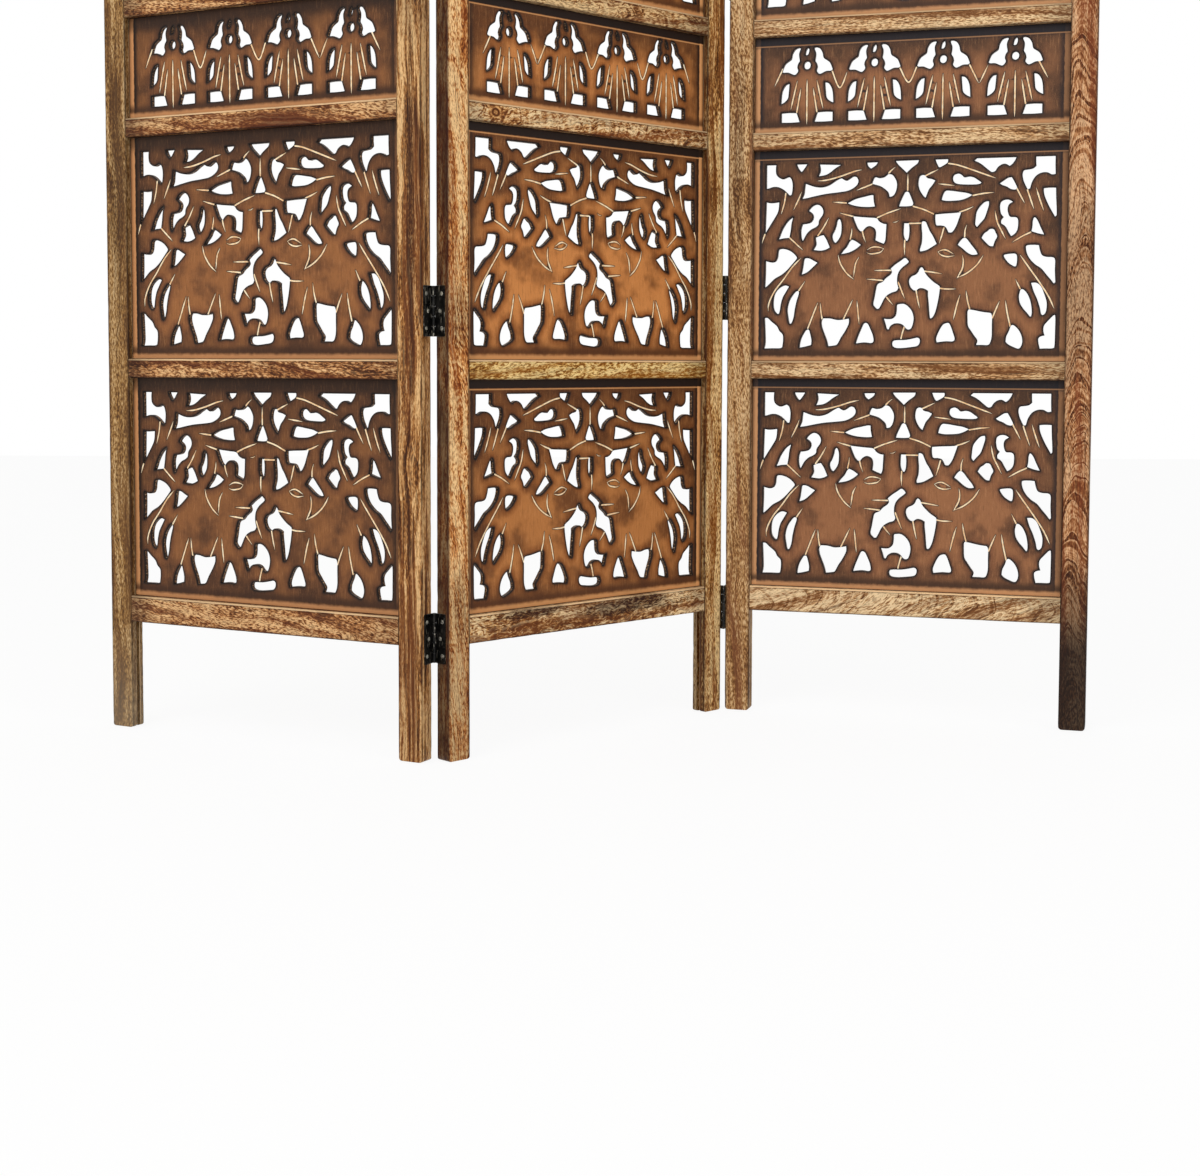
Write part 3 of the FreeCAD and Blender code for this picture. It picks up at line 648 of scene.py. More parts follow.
def elephantBoardShape():
    size = openingWidth, screen["elephantHeight"]
    cuts = drawn(elephantCuts, *size, True, *board["parallax"])
    return boardShape(cuts, drawn(elephantLines, *size, False, *board["parallax"]), *size)


def birdBoardShape():
    size = openingWidth, screen["birdHeight"]
    cuts, lines = [], []
    for middle in birdMiddles:
        for hand in (-1, 1):
            cuts += drawn(birdHalfCuts, *size, True, middle, 0.0, hand)
            lines += drawn(birdHalfLines, *size, False, middle, 0.0, hand)
        cuts += drawn(birdMiddleCuts, *size, True, middle)
        lines += drawn(birdMiddleLines, *size, False, middle)
    return boardShape(cuts, lines + drawn(birdBandLines, *size, False), *size)


def makeBoard(side, index, shape, seed):
    points, triangles, cutGap, lineGap = shape
    placed = points.copy()
    if side == "middle":
        placed[:, 0] = openingWidth - placed[:, 0]
        triangles = [tuple(reversed(face)) for face in triangles]
    front = screen["frontLip"] + screen["boardSlack"]
    corner = np.array([screen["stileWidth"], front, boardLevels[index][0]])
    matrix = np.array(panelAt[side])
    world = (placed + corner) @ matrix[:3, :3].T + matrix[:3, 3]
    name = f"{side}_panel_{boardNames[index]}_fretwork"
    mesh = meshFrom(name, world.tolist(), triangles, {
        "boardPlace": placed[:, (0, 2, 1)], "cutGap": cutGap, "lineGap": lineGap,
        "boardSeed": [seed] * len(world),
        "boardShade": [stains[side]["shades"][index]] * len(world),
    })
    return pieceFrom(name, mesh, board["sharpAngle"])


def toLinear(text):
    parts = [int(text[i:i + 2], 16) / 255 for i in (1, 3, 5)]
    return tuple(p / 12.92 if p <= 0.04045 else ((p + 0.055) / 1.055) ** 2.4 for p in parts) + (1.0,)


class Value:
    # A node's output that can be reckoned with; the nodes made for it go into its own tree.
    def __init__(self, socket):
        self.socket = socket

    def __add__(self, other):
        return maths("ADD", self, other)

    def __sub__(self, other):
        return maths("SUBTRACT", self, other)

    def __rsub__(self, other):
        return maths("SUBTRACT", other, self)

    def __mul__(self, other):
        return maths("MULTIPLY", self, other)

    def __truediv__(self, other):
        return maths("DIVIDE", self, other)


def feed(socket, given):
    if isinstance(given, Value):
        socket.id_data.links.new(given.socket, socket)
    else:
        socket.default_value = toLinear(given) if isinstance(given, str) else given


def worked(kind, inputs, output=0, **settings):
    # A node with these inputs and settings, in the tree of the first input that is a Value.
    tree = next(given.socket.id_data for given in inputs.values() if isinstance(given, Value))
    node = tree.nodes.new(kind)
    for name, setting in settings.items():
        setattr(node, name, setting)
    for name, given in inputs.items():
        feed(node.inputs[name], given)
    return Value(node.outputs[output])


def maths(operation, *given):
    return worked("ShaderNodeMath", dict(enumerate(given)), operation=operation)


def weighed(start, *parts):
    # start plus each noise's distance from its middle times its weight
    for value, weight in parts:
        if weight:
            start = maths("MULTIPLY_ADD", value - 0.5, weight, start)
    return start


def distance(a, b):
    return maths("SQRT", maths("MULTIPLY_ADD", a, a, b * b))


def span(value, low, high, start=0.0, end=1.0):
    # start below low, end above high, and an even change between
    return worked("ShaderNodeMapRange", {
        "Value": value, "From Min": low, "From Max": high, "To Min": start, "To Max": end,
    }, "Result", interpolation_type="SMOOTHSTEP")


def tint(amount, a, b):
    return worked("ShaderNodeMix", {0: amount, 6: a, 7: b}, 2, data_type="RGBA")


def painted(colour, *layers):
    for amount, over in layers:
        colour = tint(amount, colour, over)
    return colour


def stretch(vector, *scales):
    return worked("ShaderNodeVectorMath", {0: vector, 1: scales}, operation="MULTIPLY")


def cloud(vector, scale, detail, roughness, seed=None, warp=0.0):
    inputs = {"Vector": vector, "Scale": scale, "Detail": detail, "Roughness": roughness,
              "Distortion": warp}
    if seed is not None:
        inputs["W"] = seed
    return worked("ShaderNodeTexNoise", inputs, noise_dimensions="3D" if seed is None else "4D")


def split(vector):
    first = worked("ShaderNodeSeparateXYZ", {0: vector})
    return [Value(output) for output in first.socket.node.outputs]


def toneRamp(value, *stops):
    shade = worked("ShaderNodeValToRGB", {0: value})
    ramp = shade.socket.node.color_ramp
    while len(ramp.elements) < len(stops):
        ramp.elements.new(0.5)
    for element, (place, colour) in zip(ramp.elements, stops):
        element.position, element.color = place, toLinear(colour)
    return shade


def newMaterial(name):
    material = bpy.data.materials.new(name)
    material.use_nodes = True
    tree = material.node_tree
    tree.nodes.clear()
    output = tree.nodes.new("ShaderNodeOutputMaterial")
    shader = tree.nodes.new("ShaderNodeBsdfPrincipled")
    tree.links.new(shader.outputs["BSDF"], output.inputs["Surface"])
    return material, tree, shader


def stored(tree, *names):
    # The attributes of these names; a name with a star is a vector.
    found = []
    for name in names:
        node = tree.nodes.new("ShaderNodeAttribute")
        node.attribute_name = name.strip("*")
        found.append(Value(node.outputs["Vector" if name.endswith("*") else "Fac"]))
    return found


def dress(shader, colour, roughness, height, distance, strength):
    feed(shader.inputs["Base Color"], colour)
    feed(shader.inputs["Roughness"], roughness)
    feed(shader.inputs["Normal"], worked("ShaderNodeBump", {
        "Height": height, "Strength": strength, "Distance": distance,
    }))


# Tones run from burnt to palest, and rose is the redder heartwood. heart is where the
# rings centre, across and behind the face; lean and slant tilt the rings and the fibres
# along the plank; edge darkens a plank's edges and edge faces, partly burnt and partly
# painted shade, foot the end on the floor and ends the two ends of a rail. marks are burnt
# places: plank number, middle along and across, reach along and across, and how dark. knot
# is a plank number and a place.
woods = {
    "left_left": dict(tones=("#2c1c12", "#5c3e25", "#8c6438", "#b18956", "#d4b284"), rose="#6d4a2c",
                      heart=(0.03, -0.09), lean=0.05, slant=0.03, rings=260, fleck=0.8, strand=0.9,
                      broad=1.2, figure=0.6, curl=0.3, patch=1.2, cream=0.1, burn=0.3, edge=0.4,
                      foot=-0.25, shift=1.0, marks=((0, 0.75, 0, 0.22, 0.016, 0.5),)),
    "left_right": dict(tones=("#26140c", "#57331b", "#8b5930", "#be8751", "#e8bd88"), rose="#7a4526",
                       heart=(0.01, -0.2), lean=0.015, slant=0.01, rings=240, fleck=0.5, strand=2.1,
                       broad=1.3, figure=1.1, curl=0.05, patch=0.6, cream=0.4, burn=0.3,
                       foot=0.1, shift=2.0,
                       marks=((1, 0.72, 0.003, 0.28, 0.007, 0.75), (1, 0.95, 0, 0.07, 0.02, 0.4))),
    "middle_left": dict(tones=("#30140a", "#733818", "#b76d39", "#e7a463", "#fbd29a"), rose="#88421d",
                        heart=(-0.02, -0.06), lean=0.13, slant=0.07, rings=240, fleck=0.9, strand=1.3,
                        broad=1.3, figure=1.3, curl=0.6, patch=1.7, cream=0.25, burn=0.35, edge=0.96,
                        foot=0.3, shift=3.0,
                        marks=((2, 0.56, 0, 0.05, 0.02, 0.5), (2, 0.2, 0, 0.055, 0.02, 0.45))),
    "middle_right": dict(tones=("#2f180c", "#6c411f", "#a8723f", "#d9a667", "#f4d29a"), rose="#854a20",
                         heart=(0.02, -0.1), lean=0.05, slant=0.03, rings=260, fleck=1.1, strand=1.6,
                         broad=1.7, figure=1.0, curl=0.35, patch=1.9, cream=0.3, burn=0.4, edge=0.6,
                         foot=0.1, shift=4.0, marks=((3, 0.6, 0, 0.1, 0.012, 0.2),)),
    "right_left": dict(tones=("#3b251a", "#7b5230", "#ab7d50", "#cca06c", "#e3c092"), rose="#87553a",
                       heart=(-0.03, -0.1), lean=0.04, slant=0.06, rings=280, fleck=1.15, strand=1.4,
                       broad=1.3, figure=0.6, curl=0.4, patch=1.5, cream=0.15, burn=0.35, edge=0.5,
                       shift=5.0, marks=((4, 0.8, -0.004, 0.16, 0.012, 0.55),)),
    "right_right": dict(tones=("#23120a", "#5c301a", "#96603a", "#c68e62", "#e8bb90"), rose="#84452a",
                        heart=(0.0, -0.028), lean=0.16, slant=0.02, rings=440, fleck=0.62, strand=0.5,
                        broad=0.9, figure=2.4, curl=0.3, patch=0.5, cream=0.05, burn=0.3, edge=0.4,
                        foot=1.0, shift=6.0,
                        marks=((5, 0.62, 0, 0.15, 0.06, 0.48), (5, 0.2, 0, 0.04, 0.02, 0.4))),
    "left_rail": dict(tones=("#28140b", "#54301c", "#8f5b35", "#c58b59", "#eabd8a"), rose="#6d3820",
                      heart=(0.01, -0.08), lean=0.05, slant=0.12, rings=260, fleck=1.0, strand=0.8,
                      broad=1.2, figure=0.8, curl=0.7, patch=1.3, cream=0.15, burn=0.35, edge=0.35,
                      ends=(0.6, 0.3), shift=7.0),
    "middle_rail": dict(tones=("#30190a", "#7b491c", "#bb8443", "#e4b469", "#f8d898"), rose="#8f5420",
                        heart=(0.0, -0.05), lean=0.05, slant=-0.08, rings=260, fleck=1.1, strand=0.9,
                        broad=1.1, figure=0.9, curl=0.6, patch=1.3, cream=0.2, burn=0.25, edge=0.3,
                        ends=(0.2, 0.5), shift=8.0),
    "middle_third_rail": dict(
        tones=("#2c140a", "#6c3c1e", "#b07442", "#dfab70", "#f8d8a8"), rose="#7f4626",
        heart=(0.0, -0.05), lean=0.26, slant=-0.14, rings=280, fleck=0.95, strand=1.3, broad=1.2,
        figure=1.8, curl=1.2, patch=1.8, cream=0.3, burn=0.35, edge=0.35, ends=(0.3, 0.4),
        shift=8.0, knot=(9.74, 0.043, 0.001)),
    "middle_fourth_rail": dict(
        tones=("#28120a", "#5f361c", "#9c683e", "#cf9d68", "#eecb98"), rose="#744022",
        heart=(0.0, -0.05), lean=0.22, slant=-0.12, rings=280, fleck=0.95, strand=1.4, broad=1.2,
        figure=1.6, curl=1.1, patch=1.8, cream=0.2, burn=0.45, edge=0.5, ends=(0.4, 0.5),
        shift=8.2),
    "middle_bottom_rail": dict(
        tones=("#28120a", "#62371b", "#a6703f", "#dba66a", "#f8d8a8"), rose="#7a4524",
        heart=(0.0, -0.05), lean=0.1, slant=-0.05, rings=300, fleck=1.1, strand=1.1, broad=1.2,
        figure=1.2, curl=1.5, patch=2.2, cream=0.3, burn=0.35, edge=0.2, ends=(0.0, 0.3),
        shift=8.4, marks=((7, 0.27, 0.004, 0.12, 0.016, 0.92), (7, 0.11, 0.013, 0.07, 0.009, 0.9))),
    "right_rail": dict(tones=("#301c12", "#724a2c", "#aa7c50", "#d6a878", "#f2d2a4"), rose="#855532",
                       heart=(0.0, -0.05), lean=0.05, slant=0.03, rings=260, fleck=1.0, strand=1.4,
                       broad=1.1, figure=0.8, curl=0.4, patch=1.1, cream=0.3, burn=0.25, edge=0.5,
                       ends=(0.1, 0.4), shift=9.0),
    "right_bottom_rail": dict(
        tones=("#301c12", "#6e462a", "#aa7c50", "#d9ac7c", "#f6d8ac"), rose="#855532",
        heart=(0.0, -0.05), lean=0.35, slant=-0.3, rings=260, fleck=0.8, strand=1.0, broad=0.8,
        figure=1.8, curl=0.4, patch=0.9, cream=0.2, burn=0.2, edge=0.1, ends=(0.0, 0.4),
        shift=9.4),
}
plainWood = {"edge": 0.0, "foot": 0.0, "ends": (0.0, 0.0), "marks": (), "knot": None}
wood = {
    "endFades": ((0.0, 0.05), (openingWidth, openingWidth - 0.06)),  # along, from dark to plain
    "footFade": (0.1, 0.26),
    "floorFade": (0.0, 0.16),
    "footTone": "#221711",
    "paleFootTone": "#a29a86",
    # pale of the arrises: worn, and on the top arris of a rail also a painted highlight
    "paleWearAndHighlightTone": "#ffd8a8",
    "relief": (0.0005, 0.8),
}


def woodMaterial(name, look):
    look = {**plainWood, **look}
    material, tree, shader = newMaterial(f"mango_wood_{name}")
    grain, number, tone, half, arrisMark = stored(tree, "grain*", "plankSeed", "plankTone", "plankHalf", "arrisMark")
    along, across, depth = split(grain)
    seed = number + look["shift"]

    def grown(vector, long, fine, detail, roughness, shift=0.0, warp=0.0):
        # Noise that is drawn out along the plank where long is less than fine.
        return cloud(stretch(vector, long, fine, fine), 1, detail, roughness,
                     seed + shift if shift else seed, warp)

    slow = grown(grain, 5, 16, 2, 0.5)
    quick = grown(grain, 48, 70, 2, 0.5)

    # the fibres lean, wander and curl along the plank
    flow = weighed(maths("MULTIPLY_ADD", along, look["slant"], across),
                   (slow, 0.035), (quick, 0.012 * look["curl"]))
    fibres = worked("ShaderNodeCombineXYZ", {0: along, 1: flow, 2: depth})
    fleck = grown(fibres, 160, 680, 2, 0.6)
    strand = grown(fibres, 7, 210, 4, 0.65)
    hair = grown(fibres, 120, 1700, 2, 0.6)
    broad = grown(fibres, 2.4, 75, 2, 0.55, 3.7)
    ripple = grown(fibres, 110, 26, 2, 0.5, 7.3, 0.5)
    streak = grown(fibres, 7, 340, 3, 0.7, 9.1)
    patches = grown(grain, 9, 30, 3, 0.6, 4.4)
    scorch = grown(grain, 10, 55, 4, 0.65, 2.2)

    # growth rings about the heart, cut by every face of the plank
    heartAcross, heartDepth = look["heart"]
    reach = distance(across - heartAcross, depth - heartDepth)
    ring = weighed(maths("MULTIPLY_ADD", along, look["lean"], reach), (slow, 0.035), (quick, 0.002))
    bands = worked("ShaderNodeTexNoise", {
        "W": maths("MULTIPLY_ADD", ring, look["rings"], seed * 31.7),
        "Scale": 1.0, "Detail": 2.0, "Roughness": 0.6,
    }, noise_dimensions="1D")
    rings = span(bands, 0.32, 0.68)
    seam = span(bands, 0.55, 0.62) * span(fleck, 0.38, 0.62, 1.0, 0.72)
    tone = weighed(
        tone, (fleck, 1.2 * look["fleck"]), (span(fleck, 0.4, 0.6), 0.22 * look["fleck"]),
        (strand, 1.6 * look["strand"]), (hair, 0.6), (broad, 1.4 * look["broad"]),
        (rings, 0.3 * look["figure"]), (seam, -0.42 * look["figure"]),
        (patches, 1.15 * look["patch"]), (ripple, 0.9 * look["curl"]),
    )
    if look["knot"]:
        knotNumber, knotAlong, knotAcross = look["knot"]
        off = distance((along - knotAlong) * 0.72, across - knotAcross)
        whorl = maths("SINE", weighed(off, (quick, 0.006)) * 1150)
        eye = span(off, 0.0045, 0.011, 1.0, 0.0) * maths("COMPARE", number, knotNumber, 0.01)
        tone = tone * (1.0 - eye) + maths("MULTIPLY_ADD", whorl, 0.3, 0.42) * eye

    burnt, dark, middle, light, palest = look["tones"]
    pores = span(hair, 0.6, 0.72)
    layers = [
        (span(fleck, 0.53, 0.42, 0.0, 0.62 * look["fleck"]), dark),
        (span(broad, 0.52, 0.38) * span(fleck, 0.3, 0.7, 0.75, 0.35), look["rose"]),
        (span(streak, 0.52, 0.66) * look["cream"], palest),
        (span(streak, 0.46, 0.34) * min(0.5, look["figure"] * 0.5), burnt),
        (span(scorch, 0.5, 0.75) * look["burn"], burnt),
        (pores * 0.55, burnt),
        # darkened arrises, and the pale ones: worn, and on a rail's top arris also a painted highlight
        (span(arrisMark, 0.1, 0.9) * span(arrisMark, 1.0, 1.3, 1.0, 0.0) * span(scorch, 0.35, 0.6, 0.35, 0.85), burnt),
        (span(arrisMark, 1.15, 1.6) * span(strand, 0.3, 0.5, 0.7, 1.0), wood["paleWearAndHighlightTone"]),
    ]
    if look["edge"]:
        # darker edges and edge faces: partly burnt, partly painted shade
        side = span(maths("ABSOLUTE", across) / half, 0.7, 0.99)
        layers.append((side * span(scorch, 0.3, 0.62, 0.72, 1.0) * look["edge"], burnt))
    for markNumber, middleAlong, middleAcross, reachAlong, reachAcross, amount in look["marks"]:
        off = distance((along - middleAlong) / reachAlong, (across - middleAcross) / reachAcross)
        off = weighed(off, (scorch, 2.2), (strand, 1.2))
        layers.append((span(off, 0.4, 1.1, 1.0, 0.0) * span(fleck, 0.4, 0.62, amount, amount * 0.6)
                       * maths("COMPARE", number, markNumber, 0.01), burnt))
    if look["foot"] > 0:
        layers.append((span(along, *wood["footFade"], 1.0, 0.0) * (look["foot"] * 0.985)
                       * span(fleck, 0.35, 0.65, 1.0, 0.93), wood["footTone"]))
    elif look["foot"] < 0:
        # paler and greyer towards the floor
        layers.append((span(along, *wood["floorFade"], 1.0, 0.0) * -look["foot"], wood["paleFootTone"]))
    for share, fade in zip(look["ends"], wood["endFades"]):
        if share:
            end = maths("MULTIPLY_ADD", scorch - 0.5, 0.05, along)
            layers.append((span(end, *fade, 1.0, 0.0) * share, burnt))
    colour = toneRamp(tone, (0.06, burnt), (0.29, dark), (0.5, middle), (0.71, light), (0.95, palest))
    colour = worked("ShaderNodeHueSaturation", {
        "Saturation": 1.04, "Value": 0.96, "Color": painted(colour, *layers),
    })
    height = weighed(0.5, (fleck, 0.8), (strand, 0.5), (rings, 0.2), (pores, -0.5))
    dress(shader, colour, span(tone, 0.1, 0.8, 0.62, 0.46), height, *wood["relief"])
    shader.inputs["Specular IOR Level"].default_value = 0.15
    return material


# strips is how much of the copper strip shows along the left and the right of a board,
# partly stain and partly painted highlight, inside a dark band that is partly painted shade;
# top how dark its upper border is, a painted shadow of the rail above over some stain, and
# crisp how sharply that painted shadow ends; shades darkens each board as a whole, from the
# lowest up.
stains = {
    "left": dict(field="#7a4c2f", warm="#98633b", deep="#3c2518", inkAndShadow="#1a110c", copper="#cf9464",
                 strips=(1.0, 0.1), top=0.62, crisp=0.0, shades=(0.3, 0.0, 0.1, 0.1, 0.2)),
    "middle": dict(field="#9d5d2e", warm="#d0894e", deep="#4c2912", inkAndShadow="#1e1009", copper="#e2a36b",
                   strips=(0.3, 0.95), top=0.985, crisp=1.0, shades=(0.38, 0.0, 0.1, 0.1, 0.2)),
    "right": dict(field="#81543a", warm="#9c6a48", deep="#402c20", inkAndShadow="#1d1b20", copper="#d9a070",
                  strips=(0.9, 0.35), top=0.93, crisp=0.6, shades=(0.0, 0.14, 0.05, 0.1, 0.15)),
}
stripWide = 0.0078  # of the copper strips at the sides


def boardMaterial(name, look, high):
    material, tree, shader = newMaterial(f"stained_board_painted_shade_{name}")
    place, seed, cutGap, lineGap, shade = stored(
        tree, "boardPlace*", "boardSeed", "cutGap", "lineGap", "boardShade")
    deep, inkAndShadow, copper = look["deep"], look["inkAndShadow"], look["copper"]
    left, low, depth = split(place)
    right, top = openingWidth - left, high - low
    soft = cloud(place, 20, 3, 0.55, seed)
    mist = cloud(place, 110, 3, 0.6, seed)
    veneer = cloud(stretch(place, 420, 60, 420), 1, 3, 0.6, seed)
    speck = cloud(place, 1100, 2, 0.7, seed)

    # stain sprayed thick round the cuts and the rim, and thin over the open bodies
    nearest = maths("MINIMUM", maths("MINIMUM", left, right), maths("MINIMUM", low, top))
    away = weighed(cutGap, (mist, 0.003))
    layers = [
        (span(away, 0.003, 0.013) * span(soft, 0.3, 0.6, 0.3, 1.0), look["warm"]),
        (shade * span(soft, 0.35, 0.6, 1.0, 0.7), deep),
        (span(weighed(nearest, (soft, 0.07)), 0.0, 0.055, 0.72, 0.0), deep),
        # darker towards the top: partly stain, partly painted shade under the rail above
        (span(weighed(top / high, (soft, 0.5)), 0.1, 0.5, 0.6, 0.0), deep),
        (span(soft, 0.52, 0.32, 0.0, 0.6), deep),
        (span(veneer, 0.52, 0.7, 0.0, 0.3), deep),
        (span(veneer, 0.48, 0.3, 0.0, 0.2), copper),
        (span(speck, 0.5, 0.72, 0.0, 0.45), inkAndShadow),
        (span(speck, 0.46, 0.28, 0.0, 0.3), copper),
    ]

    # the border: copper strips inside a dark line, partly stain and partly painted highlight and
    # painted shade, and a dark band along the top, a painted shadow of the rail over some stain
    drift = (mist - 0.5) * 0.003
    # at each side a copper strip, partly stain and partly painted highlight, inside a dark band that is
    # partly stain and partly painted shade
    for edge, amount in zip((left, right), look["strips"]):
        near = edge + drift
        layers += [
            (span(near, stripWide, stripWide + 0.0009)
             * span(near, stripWide + 0.0015, stripWide + 0.009, 1.0, 0.0) * (0.6 + 0.35 * amount), inkAndShadow),
            (span(near, stripWide - 0.0006, stripWide + 0.0006, 1.0, 0.0)
             * span(near, 0.0005, 0.0055, 0.45, 1.0) * (0.9 * amount), copper),
        ]
    near, upper, crisp = low + drift * 1.5, top + drift, look["crisp"]
    layers += [
        # along the bottom a dark band and a copper strip: partly stain, partly painted highlight
        (span(near, 0.005, 0.01) * span(near, 0.011, 0.021, 1.0, 0.0) * 0.8, deep),
        (span(near, 0.0035, 0.0088, 0.85, 0.0), copper),
        # along the top the painted shadow of the rail above, over some stain
        (span(upper, 0.0105, 0.0115 + 0.014 * (1 - crisp), 1.0, 0.0)
         * span(upper, 0.0, 0.004, 0.93, 1.0) * look["top"], inkAndShadow),
    ]
    # a pale copper line just below the crisp edge of the painted shadow: painted highlight
    if crisp:
        layers.append((span(top, 0.011, 0.012) * span(top, 0.0125, 0.0138, 1.0, 0.0) * (0.7 * crisp), copper))

    # a near-black line where the board meets the frame, painted shade in the groove; burnt
    # outline of every cut and its rough wall, and engraved lines, pale inside a dark edge
    rough = cloud(stretch(place, 700, 700, 260), 1, 3, 0.7, seed)
    bareWall = toneRamp(rough, (0.42, "#1a0f09"), (0.52, "#553a26"), (0.6, "#a98059"), (0.7, "#f0dcbc"))
    layers += [
        (span(nearest, 0.0002, 0.0011, 0.97, 0.0), "#140a06"),
        (span(away, 0.0004, 0.0046, 1.0, 0.0) * 0.6, inkAndShadow),
        (span(cutGap, 0.0011, 0.0017, 0.97, 0.0), "#150b06"),
        (span(depth, 0.0006, 0.001) * span(depth, 0.00585, 0.00595, 1.0, 0.0)
         * span(cutGap, 0.0003, 0.0005, 1.0, 0.0),
         tint(span(depth, 0.0009, 0.0018, 0.97, 0.0), bareWall, "#150c07")),
        (span(lineGap, 0.0013, 0.0024, 0.88, 0.0), inkAndShadow),
        (span(lineGap, 0.0008, 0.0012, 1.0, 0.0), tint(span(mist, 0.4, 0.65), "#ffedcc", "#efc798")),
    ]
    colour = tint(span(away, 0.0002, 0.005), deep, look["field"])
    colour = worked("ShaderNodeHueSaturation", {"Saturation": 1.02, "Color": painted(colour, *layers)})
    height = weighed(0.5, (mist, 0.4), (speck, 1.0), (veneer, 0.4))
    dress(shader, colour, span(speck, 0.3, 0.7, 0.42, 0.58), height, 0.00012, 0.6)
    shader.inputs["Specular IOR Level"].default_value = 0.18
    return material


# tones are the metal's two tones and blend where they meet, broad and fine its clouds; bare
# metal, partly wear and partly painted glints, shows where streak is above rubbed, and grime
# where fine is high.
metals = {
    "blackened_iron_leaf": dict(
        tones=("#131313", "#302e2b"), blend=(0.35, 0.7), broad=(90, 4), fine=(900, 3),
        bare="#a39c8e", rubbed=0.6, streak=(420, 420, 90), grime="#6b5a46", grimy=(0.62, 0.74, 0.0, 0.5),
        metallic=0.8, gloss=(0.26, 0.44), relief=(0.0001, 0.4)),
    # knuckles lighter than the leaves and with more bare streaks: worn iron, and painted glints along the
    # barrel
    "rubbed_iron_knuckle_painted_glint": dict(
        tones=("#23221f", "#5a564d"), blend=(0.35, 0.7), broad=(90, 4), fine=(900, 3),
        bare="#e6dfcf", rubbed=0.45, streak=(620, 620, 35), grime="#6b5a46", grimy=(0.62, 0.74, 0.0, 0.5),
        metallic=0.8, gloss=(0.2, 0.36), relief=(0.0001, 0.4)),
    "dull_zinc_screw": dict(
        tones=("#bdb9ac", "#ece8da"), blend=(0.35, 0.65), broad=(400, 3), fine=(2500, 2),
        grime="#4b453d", grimy=(0.6, 0.75, 0.0, 0.6), metallic=0.85, gloss=(0.22, 0.4),
        relief=(0.00005, 0.3)),
}


def metalMaterial(name):
    look = metals[name]
    material, tree, shader = newMaterial(name)
    place = Value(tree.nodes.new("ShaderNodeTexCoord").outputs["Object"])
    broad, fine = (cloud(place, *look[size], 0.6) for size in ("broad", "fine"))
    colour = tint(span(broad, *look["blend"]), *look["tones"])
    # bare streaks: worn metal, partly painted glints
    if "bare" in look:
        rubbed = cloud(stretch(place, *look["streak"]), 1, 3, 0.6)
        colour = tint(span(rubbed, look["rubbed"], look["rubbed"] + 0.06, 0.0, 0.9), colour, look["bare"])
    colour = tint(span(fine, *look["grimy"]), colour, look["grime"])
    dress(shader, colour, span(broad, 0.3, 0.7, *look["gloss"]), fine, *look["relief"])
    shader.inputs["Metallic"].default_value = look["metallic"]
    return material


leafLook, knuckleLook, screwLook = (metalMaterial(name) for name in metals)


hinge = {
    "length": 0.0635,
    "leafWidth": 0.018,
    "leafThickness": 0.0015,
    "leafGap": 0.0006,
    "leafInner": 0.0021,  # from the pin to the ends of a leaf's fingers
    "fingerGap": 0.0001,
    "rimBevel": 0.0002,
    "rimAngle": 1.2,  # radians, between a rim and the small turns of the rounding
    "knuckleRadius": 0.003,
    "knuckleGap": 0.0002,
    "knuckles": 5,
    "pinRadius": 0.00148,
    "pinSides": 16,
    "clip": 0.0014,  # clipped outer corners of a leaf
    "screwShares": (0.16, 0.5, 0.84),
    "screwReach": (0.0125, 0.0085, 0.0125),  # from the leaf's inner edge
    "screwHead": 0.0031,
    "screwHeight": 0.00045,
    "screwSlot": 0.0006,
    "screwSink": 0.0002,
    "screwSeed": 3,
    "sharpAngle": 40,
    "heights": {"left_fold": (0.156, 0.568), "right_fold": (0.150, 0.598)},
}
mathNode, joinNode = "ShaderNodeMath", "ShaderNodeCombineXYZ"


def grownTree(name, given, rows):
    # Each row is a node's label, kind, settings and inputs. A text among the inputs that names
    # a row above or one of the group's own inputs is a link. The last row comes out.
    group = bpy.data.node_groups.new(name, "GeometryNodeTree")
    for label, kind in (("Geometry", "Geometry"), *given.items()):
        group.interface.new_socket(label, in_out="INPUT", socket_type=f"NodeSocket{kind}")
    group.interface.new_socket("Geometry", in_out="OUTPUT", socket_type="NodeSocketGeometry")
    start, end = group.nodes.new("NodeGroupInput"), group.nodes.new("NodeGroupOutput")
    sources = {socket.name: socket for socket in start.outputs}
    for label, kind, settings, inputs in rows:
        node = group.nodes.new(kind)
        for key, setting in settings.items():
            setattr(node, key, setting)
        for key, value in inputs.items():
            if isinstance(value, str) and value in sources:
                group.links.new(sources[value], node.inputs[key])
            else:
                node.inputs[key].default_value = value
        sources[label] = next(socket for socket in node.outputs if socket.enabled)
    group.links.new(sources[label], end.inputs[0])
    return group


def planted(label, turned=()):
    # A tree's last rows: the thing is set on every point, made real and given its material.
    return [
        ("onPoints", "GeometryNodeInstanceOnPoints", {},
         {"Points": "Geometry", "Instance": label, **dict(turned)}),
        ("real", "GeometryNodeRealizeInstances", {}, {0: "onPoints"}),
        ("finish", "GeometryNodeSetMaterial", {}, {"Geometry": "real", "Material": "Finish"}),
    ]


